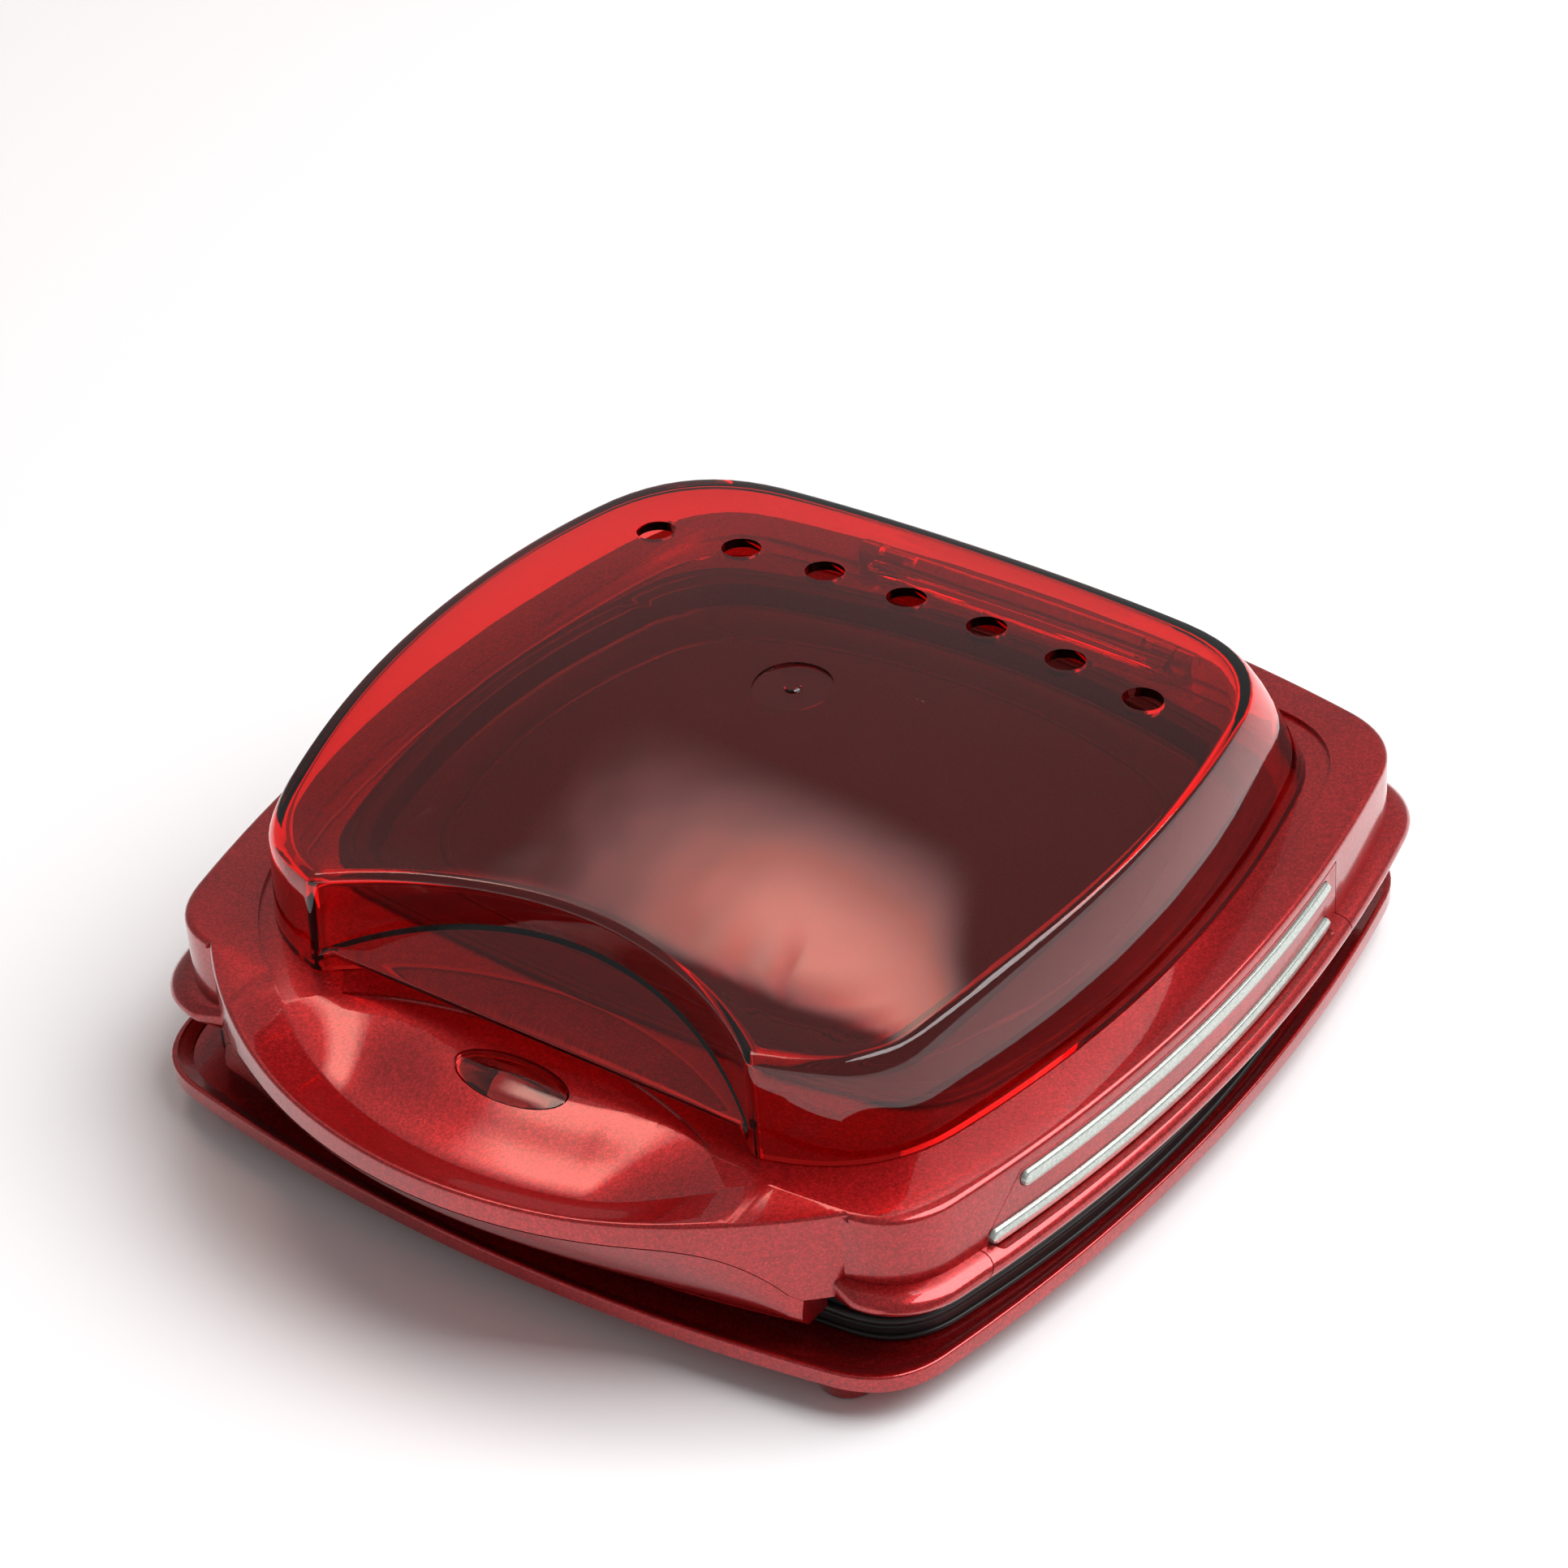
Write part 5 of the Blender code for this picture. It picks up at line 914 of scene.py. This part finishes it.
dish_floor_z = dish_top - floor_drop
loops = [dish_loop(-0.0040, dish_top - dish_bottom), dish_loop(-0.0013, dish_top - dish_sheet),
         dish_loop(flange_reach, dish_top - dish_sheet), dish_loop(flange_reach, dish_top - flange_edge),
         dish_loop(flange_reach - flange_edge, dish_top), dish_loop(0.0018, dish_top)]
loops += [dish_loop(0.0008 + line_half * c, dish_top + line_height * s) for c, s in arc(10, 170, 8)]
loops += [dish_loop(-0.0008, dish_top)]
loops += [dish_loop(-0.0020 - bend_round * s, dish_top - bend_round + bend_round * c) for c, s in arc(0, 70, 4)]
loops += [dish_loop(-0.0042 - bend_round * s, dish_top - 0.0054 - bend_round * (1 - c))
          for c, s in arc(0, 60, 3)]
loops += [dish_loop(-0.0060, dish_floor_z), dish_loop(-0.0140, dish_floor_z)]
loops += [dish_loop(-0.0156 + line_half * c, dish_floor_z + line_height * s) for c, s in arc(10, 170, 6)]
loops += [dish_loop(-0.0180, dish_floor_z)]
bun_dish = skin(loops)
grey_nonstick = nonstick_coating("baked grey nonstick coating", ("6E6A66", "4B4744", "423F3C"))
piece("bun_dish", bun_dish, grey_nonstick, "lid", ["bun_warming_plate"])


# The cord's bushing
# A moulded ring of dark rubber, snapped into the back wall, with a rounded nose and a bore.

nose = [(0.0034, -0.0047), (0.0075, -0.0047), (0.0075, -0.0029), (0.0055, -0.0029), (0.0055, 0.0003)]
nose += [(0.0052 + 0.0003 * c, 0.0003 + 0.0003 * s) for c, s in arc(20, 90, 3)]
nose += [(0.0037, 0.0006), (0.0034, 0.0003)]
bushing = skin([circle(radius, z, 64) for radius, z in nose], joined=True)
piece("bushing", through_back_wall(bushing), soft_rubber, "lid", ["cord_bushing"])


# The bun cover
# A clear red polycarbonate dome with a crisp edge round its crowned top and a back wall that leans
# forward. Its front is scooped out in an arc above a thumb tab, and seven steam holes run across
# its back. It turns on a barrel behind its foot.

cover_bottom, cover_wall = housing_top - recess_depth + fit, 0.0026
shoulder = cover_bottom + 0.0200
notch_centre = notch_apex - notch_radius
lobe_steps, scoop_steps, tip_steps = 10, 64, 4
tip_round, tip_from, tip_to = 0.0016, 0.040, 0.080
crown_height, crest_y, front_fall, side_fall, side_power = 0.0921, 0.0271, 0.0131, 0.0040, 4
level_from, level_run = 0.96, 0.08
side_draft, back_draft, front_draft, shoulder_round, lobe_round = 0.0036, 0.0140, 0.0010, 0.0020, 0.0018
lean_share, spine_share = 0.6, 0.55
front_tighter, back_wider = 0.0040, 0.0060


def crown(x, y, drop=0.0):
    """The top: it falls from its crest and to the sides, and levels out beside the scoop."""
    forward = (crest_y - y) / (crest_y - notch_apex)
    bent = min(max(forward - level_from, 0), level_run)
    fall = min(forward, level_from) ** 2 + 2 * level_from * bent - level_from / level_run * bent ** 2
    side = side_fall * (1 - fall) * (abs(x) / cover_plan["half_width"]) ** side_power
    return crown_height - drop - front_fall * fall - side


def scooped_front(plan, radius):
    """The outline's front, from its left lobe round the scoop to its right lobe."""
    half, low, bow = plan["half_width"], plan["front"], plan["front_bow"]

    def lobe(x):
        return low - bow * (1 - (x / half) ** 2)

    def hollow(x):
        return notch_centre + math.sqrt(radius ** 2 - x ** 2)
    tip, beyond = tip_from, tip_to
    for _ in range(40):
        middle = (tip + beyond) / 2
        tip, beyond = (tip, middle) if hollow(middle) < lobe(middle) else (middle, beyond)
    outer, lobe_in, arc_in = half - plan["rounding"], tip + tip_round, tip - tip_round
    xs = [outer + (lobe_in - outer) * k / lobe_steps for k in range(lobe_steps + 1)]
    right = [Vector((x, lobe(x))) for x in xs]
    start, corner, end = right[-1], Vector((tip, lobe(tip))), Vector((arc_in, hollow(arc_in)))
    for k in range(1, tip_steps):
        t = k / tip_steps
        right.append(start * (1 - t) ** 2 + corner * (2 * t * (1 - t)) + end * t ** 2)
    xs = [-arc_in * math.cos(math.pi * k / scoop_steps) for k in range(scoop_steps + 1)]
    return [Vector((-p.x, p.y)) for p in right] + [Vector((x, hollow(x))) for x in xs] + right[::-1]


def dome_outline(side, back, front, scoop, front_round, back_round):
    """The cover's outline, set in at its sides, its back, its two front lobes and its scooped arc.
    Gives (point, share of front) pairs."""
    plan = {**cover_plan, "half_width": cover_plan["half_width"] - side, "back": cover_plan["back"] - back,
            "front": cover_plan["front"] + front, "rounding": front_round}
    pairs = [(p, 1.0) for p in scooped_front(plan, notch_radius + scoop)]
    middle = (plan["front"] + plan["back"]) / 2
    rest = [p if p.y < middle else q for p, q in zip(bowed(plan), bowed(plan, rounding=back_round))]
    rest = rest[side_steps + 1:]
    for k, p in enumerate(rest):
        share = 0.0
        if k < corner_steps - 1:
            share = 1 - eased((k + 1) / corner_steps)
        if k >= len(rest) - corner_steps + 1:
            share = 1 - eased((len(rest) - k) / corner_steps)
        pairs.append((p, share))
    return pairs


def dome_loops(inset, bottom):
    """Loops of the dome from its foot up its leaning walls, over its edge to the middle of its top."""
    def loop(lean, edge, fillet, side_z, front_z):
        outline = dome_outline(inset + side_draft * lean + shoulder_round * edge,
                               inset + back_draft * lean + shoulder_round * edge,
                               inset + front_draft * lean + fillet, inset + fillet,
                               cover_plan["rounding"] - front_tighter * lean - inset,
                               cover_plan["rounding"] + back_wider * lean)
        return [Vector((p.x, p.y, side_z(p) * (1 - share) + front_z(p) * share)) for p, share in outline]
    loops = [loop(0, 0, 0, lambda p: bottom, lambda p: bottom)]
    for k in range(1, 5):
        t = k / 5
        loops.append(loop(lean_share * t, 0, 0, lambda p: bottom + (shoulder - bottom) * t,
                          lambda p: bottom + (crown(p.x, p.y, inset) - lobe_round - bottom) * t))
    for c, s in arc(0, 90, 10):
        loops.append(loop(lean_share + (1 - lean_share) * s, 1 - c, lobe_round * (1 - c),
                          lambda p: shoulder + (crown(p.x, p.y, inset) - shoulder) * s,
                          lambda p: crown(p.x, p.y, inset) - lobe_round * (1 - s)))
    rim = loops[-1]
    for share in (0.97, 0.92, 0.85, 0.75, 0.64, 0.53, 0.42, 0.32, 0.22, 0.13, 0.06, 0.02):
        inner = [(p.x * (spine_share + (1 - spine_share) * share), crest_y + (p.y - crest_y) * share)
                 for p in rim]
        loops.append([Vector((x, y, crown(x, y, inset))) for x, y in inner])
    return loops


tab_root = crown(0, notch_apex) - 0.0100
tab_reach, tab_fall, tab_thick, tab_half = 0.0215, 0.0110, 0.0024, 0.0630
tab_slope, tab_nose = tab_fall / tab_reach, 0.0008
pin_bore = (0.0356, 0.049)
vent_count, vent_pitch, vent_y, vent_bow, vent_radius = 7, 0.0245, 0.0665, 0.4170, 0.0051
gate_y, gate_radius, gate_lean, gate_depth = 0.0177, 0.0100, 0.0006, 0.0006
nub_radius, nub_drop, nub_edge = 0.0022, 0.0003, 0.0004


def tab_section(x):
    """The thumb tab's section at x, from the scooped wall forwards and down."""
    back = notch_centre + math.sqrt(notch_radius ** 2 - x ** 2) + cover_wall / 2
    front = min(notch_apex - tab_reach, back - tab_thick)
    ys = [back + (front - back) * k / 12 for k in range(13)]
    top = [(y, tab_root + tab_slope * (y - notch_apex)) for y in ys]
    tip_y, tip_z = top[-1]
    rounded = [(tip_y - tab_nose * c + tab_nose / 2, tip_z - tab_thick / 2 + tab_thick / 2 * s)
               for c, s in arc(60, -60, 6)]
    return top[:-1] + rounded + [(y, z - tab_thick) for y, z in reversed(top[:-1])]


dome = skin(list(reversed(dome_loops(cover_wall, cover_bottom))) + dome_loops(0.0, cover_bottom))
dome = combined(dome, "UNION", crosswise(spread(tab_half, 84), tab_section))
web = brick((-cover_half + fit, cover_back(cover_half) - 1.5 * cover_wall, cover_axis.z - cover_wall / 2),
            (cover_half - fit, cover_axis.y, cover_axis.z + cover_wall / 2))
barrel = bar(cover_barrel, -cover_half, cover_half, cover_axis.y, cover_axis.z)
inside = skin(dome_loops(cover_wall, cover_bottom - past))
hinge_parts = combined(combined(web, "UNION", barrel), "DIFFERENCE", inside)
dome = combined(dome, "UNION", hinge_parts)
vents = []
for k in range(vent_count):
    x = (k - (vent_count - 1) / 2) * vent_pitch
    y = vent_y - vent_bow + math.sqrt(vent_bow ** 2 - x ** 2)
    vents.append(turned([(vent_radius, shoulder), (vent_radius, crown_height + past)], (x, y), 48))
gate_top = crown(0, gate_y)
gate = turned([(gate_radius, gate_top - gate_depth), (gate_radius + gate_lean, gate_top + past)], (0, gate_y))
pin_bores = [bar(cover_pin + pin_play, *stretch(side, *pin_bore), cover_axis.y, cover_axis.z)
             for side in (-1, 1)]
dome = combined(dome, "DIFFERENCE", *vents, gate, *pin_bores)
nub = turned([(nub_radius, gate_top - 2 * gate_depth), (nub_radius, gate_top - nub_drop),
              (nub_radius - nub_edge, gate_top)], (0, gate_y), 32)
dome = combined(dome, "UNION", nub)
piece("clear_cover", dome, clear_cover, "cover", ["bun_cover"])


# Floor, light and camera
# A white sweep under a broad soft light from the back right, in a dim room. A soft, warm patch at
# the back left of the room is there for the gleam on the cover's top.

floor_shape = bmesh.new()
bmesh.ops.create_grid(floor_shape, x_segments=1, y_segments=1, size=6)
floor = loose("floor", floor_shape)
floor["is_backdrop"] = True
sweep, sweep_tree, _ = finish_named("white paper sweep")
closed_with(sweep_tree, Base_Color=linear("FCFCFD"), Roughness=0.9)
floor.data.materials.append(sweep)

sky = bpy.data.worlds.new("pale studio")
sky.use_nodes = True
sky.node_tree.nodes.clear()
towards = add(sky.node_tree, "ShaderNodeTexCoord")
parts = add(sky.node_tree, "ShaderNodeSeparateXYZ", Vector=(towards, "Generated"))
# Each edge of the patch fades in, from the first share of its axis to the second
patch_edges = (("X", -0.545, -0.470), ("X", -0.330, -0.400), ("Y", 0.520, 0.290), ("Y", 0.02, 0.14),
               ("Z", 0, 0.1))
patch_glow, room_glow = 6.0, 0.28
patch = None
for part, start, end in patch_edges:
    share = add(sky.node_tree, "ShaderNodeMapRange", {"interpolation_type": "SMOOTHSTEP"},
                Value=(parts, part), From_Min=min(start, end), From_Max=max(start, end),
                To_Min=float(start > end), To_Max=float(start < end))
    patch = share if patch is None else add(sky.node_tree, "ShaderNodeMath", {"operation": "MULTIPLY"},
                                            i0=(patch, 0), i1=(share, 0))
glow = add(sky.node_tree, "ShaderNodeMath", {"operation": "MULTIPLY_ADD"}, i0=(patch, 0),
           i1=patch_glow, i2=room_glow)
warmth = ramp(sky.node_tree, (patch, 0), ((0.0, "FFFFFF"), (0.5, "FFD2C2")))
room = add(sky.node_tree, "ShaderNodeBackground", Color=(warmth, "Color"), Strength=(glow, 0))
add(sky.node_tree, "ShaderNodeOutputWorld", Surface=(room, "Background"))
bpy.context.scene.world = sky


def soft_box(name, place, target, width, height, power):
    """A rectangular area light that looks at a point."""
    light = bpy.data.lights.new(name, "AREA")
    light.shape, light.size, light.size_y, light.energy = "RECTANGLE", width, height, power
    made = bpy.data.objects.new(name, light)
    made.location = place
    made.rotation_euler = (Vector(target) - Vector(place)).to_track_quat("-Z", "Y").to_euler()
    bpy.context.scene.collection.objects.link(made)


soft_box("main box", (0.9, 0.6, 1.75), (0, 0, 0.05), 1.7, 1.7, 50)

azimuth, elevation, roll = math.radians(37.98), math.radians(35.80), math.radians(-4.04)
aim, reach = Vector((-0.0044, 0.0172, 0.0612)), 1.1457
back = Vector((math.sin(azimuth) * math.cos(elevation), -math.cos(azimuth) * math.cos(elevation),
               math.sin(elevation)))
level_right = Vector((math.cos(azimuth), math.sin(azimuth), 0))
level_up = back.cross(level_right)
right = level_right * math.cos(roll) + level_up * math.sin(roll)
up = level_up * math.cos(roll) - level_right * math.sin(roll)
lens = bpy.data.cameras.new("camera")
lens.lens, lens.sensor_width, lens.clip_start = 106.51, 36, 0.01
camera = bpy.data.objects.new("camera", lens)
turn = Matrix((right, up, back)).transposed().to_4x4()
camera.matrix_world = Matrix.Translation(aim + back * reach) @ turn
bpy.context.scene.collection.objects.link(camera)
bpy.context.scene.camera = camera
bpy.context.scene.view_settings.view_transform = "Standard"

[[list(corner) for corner in box] for box in (cad_box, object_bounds())]
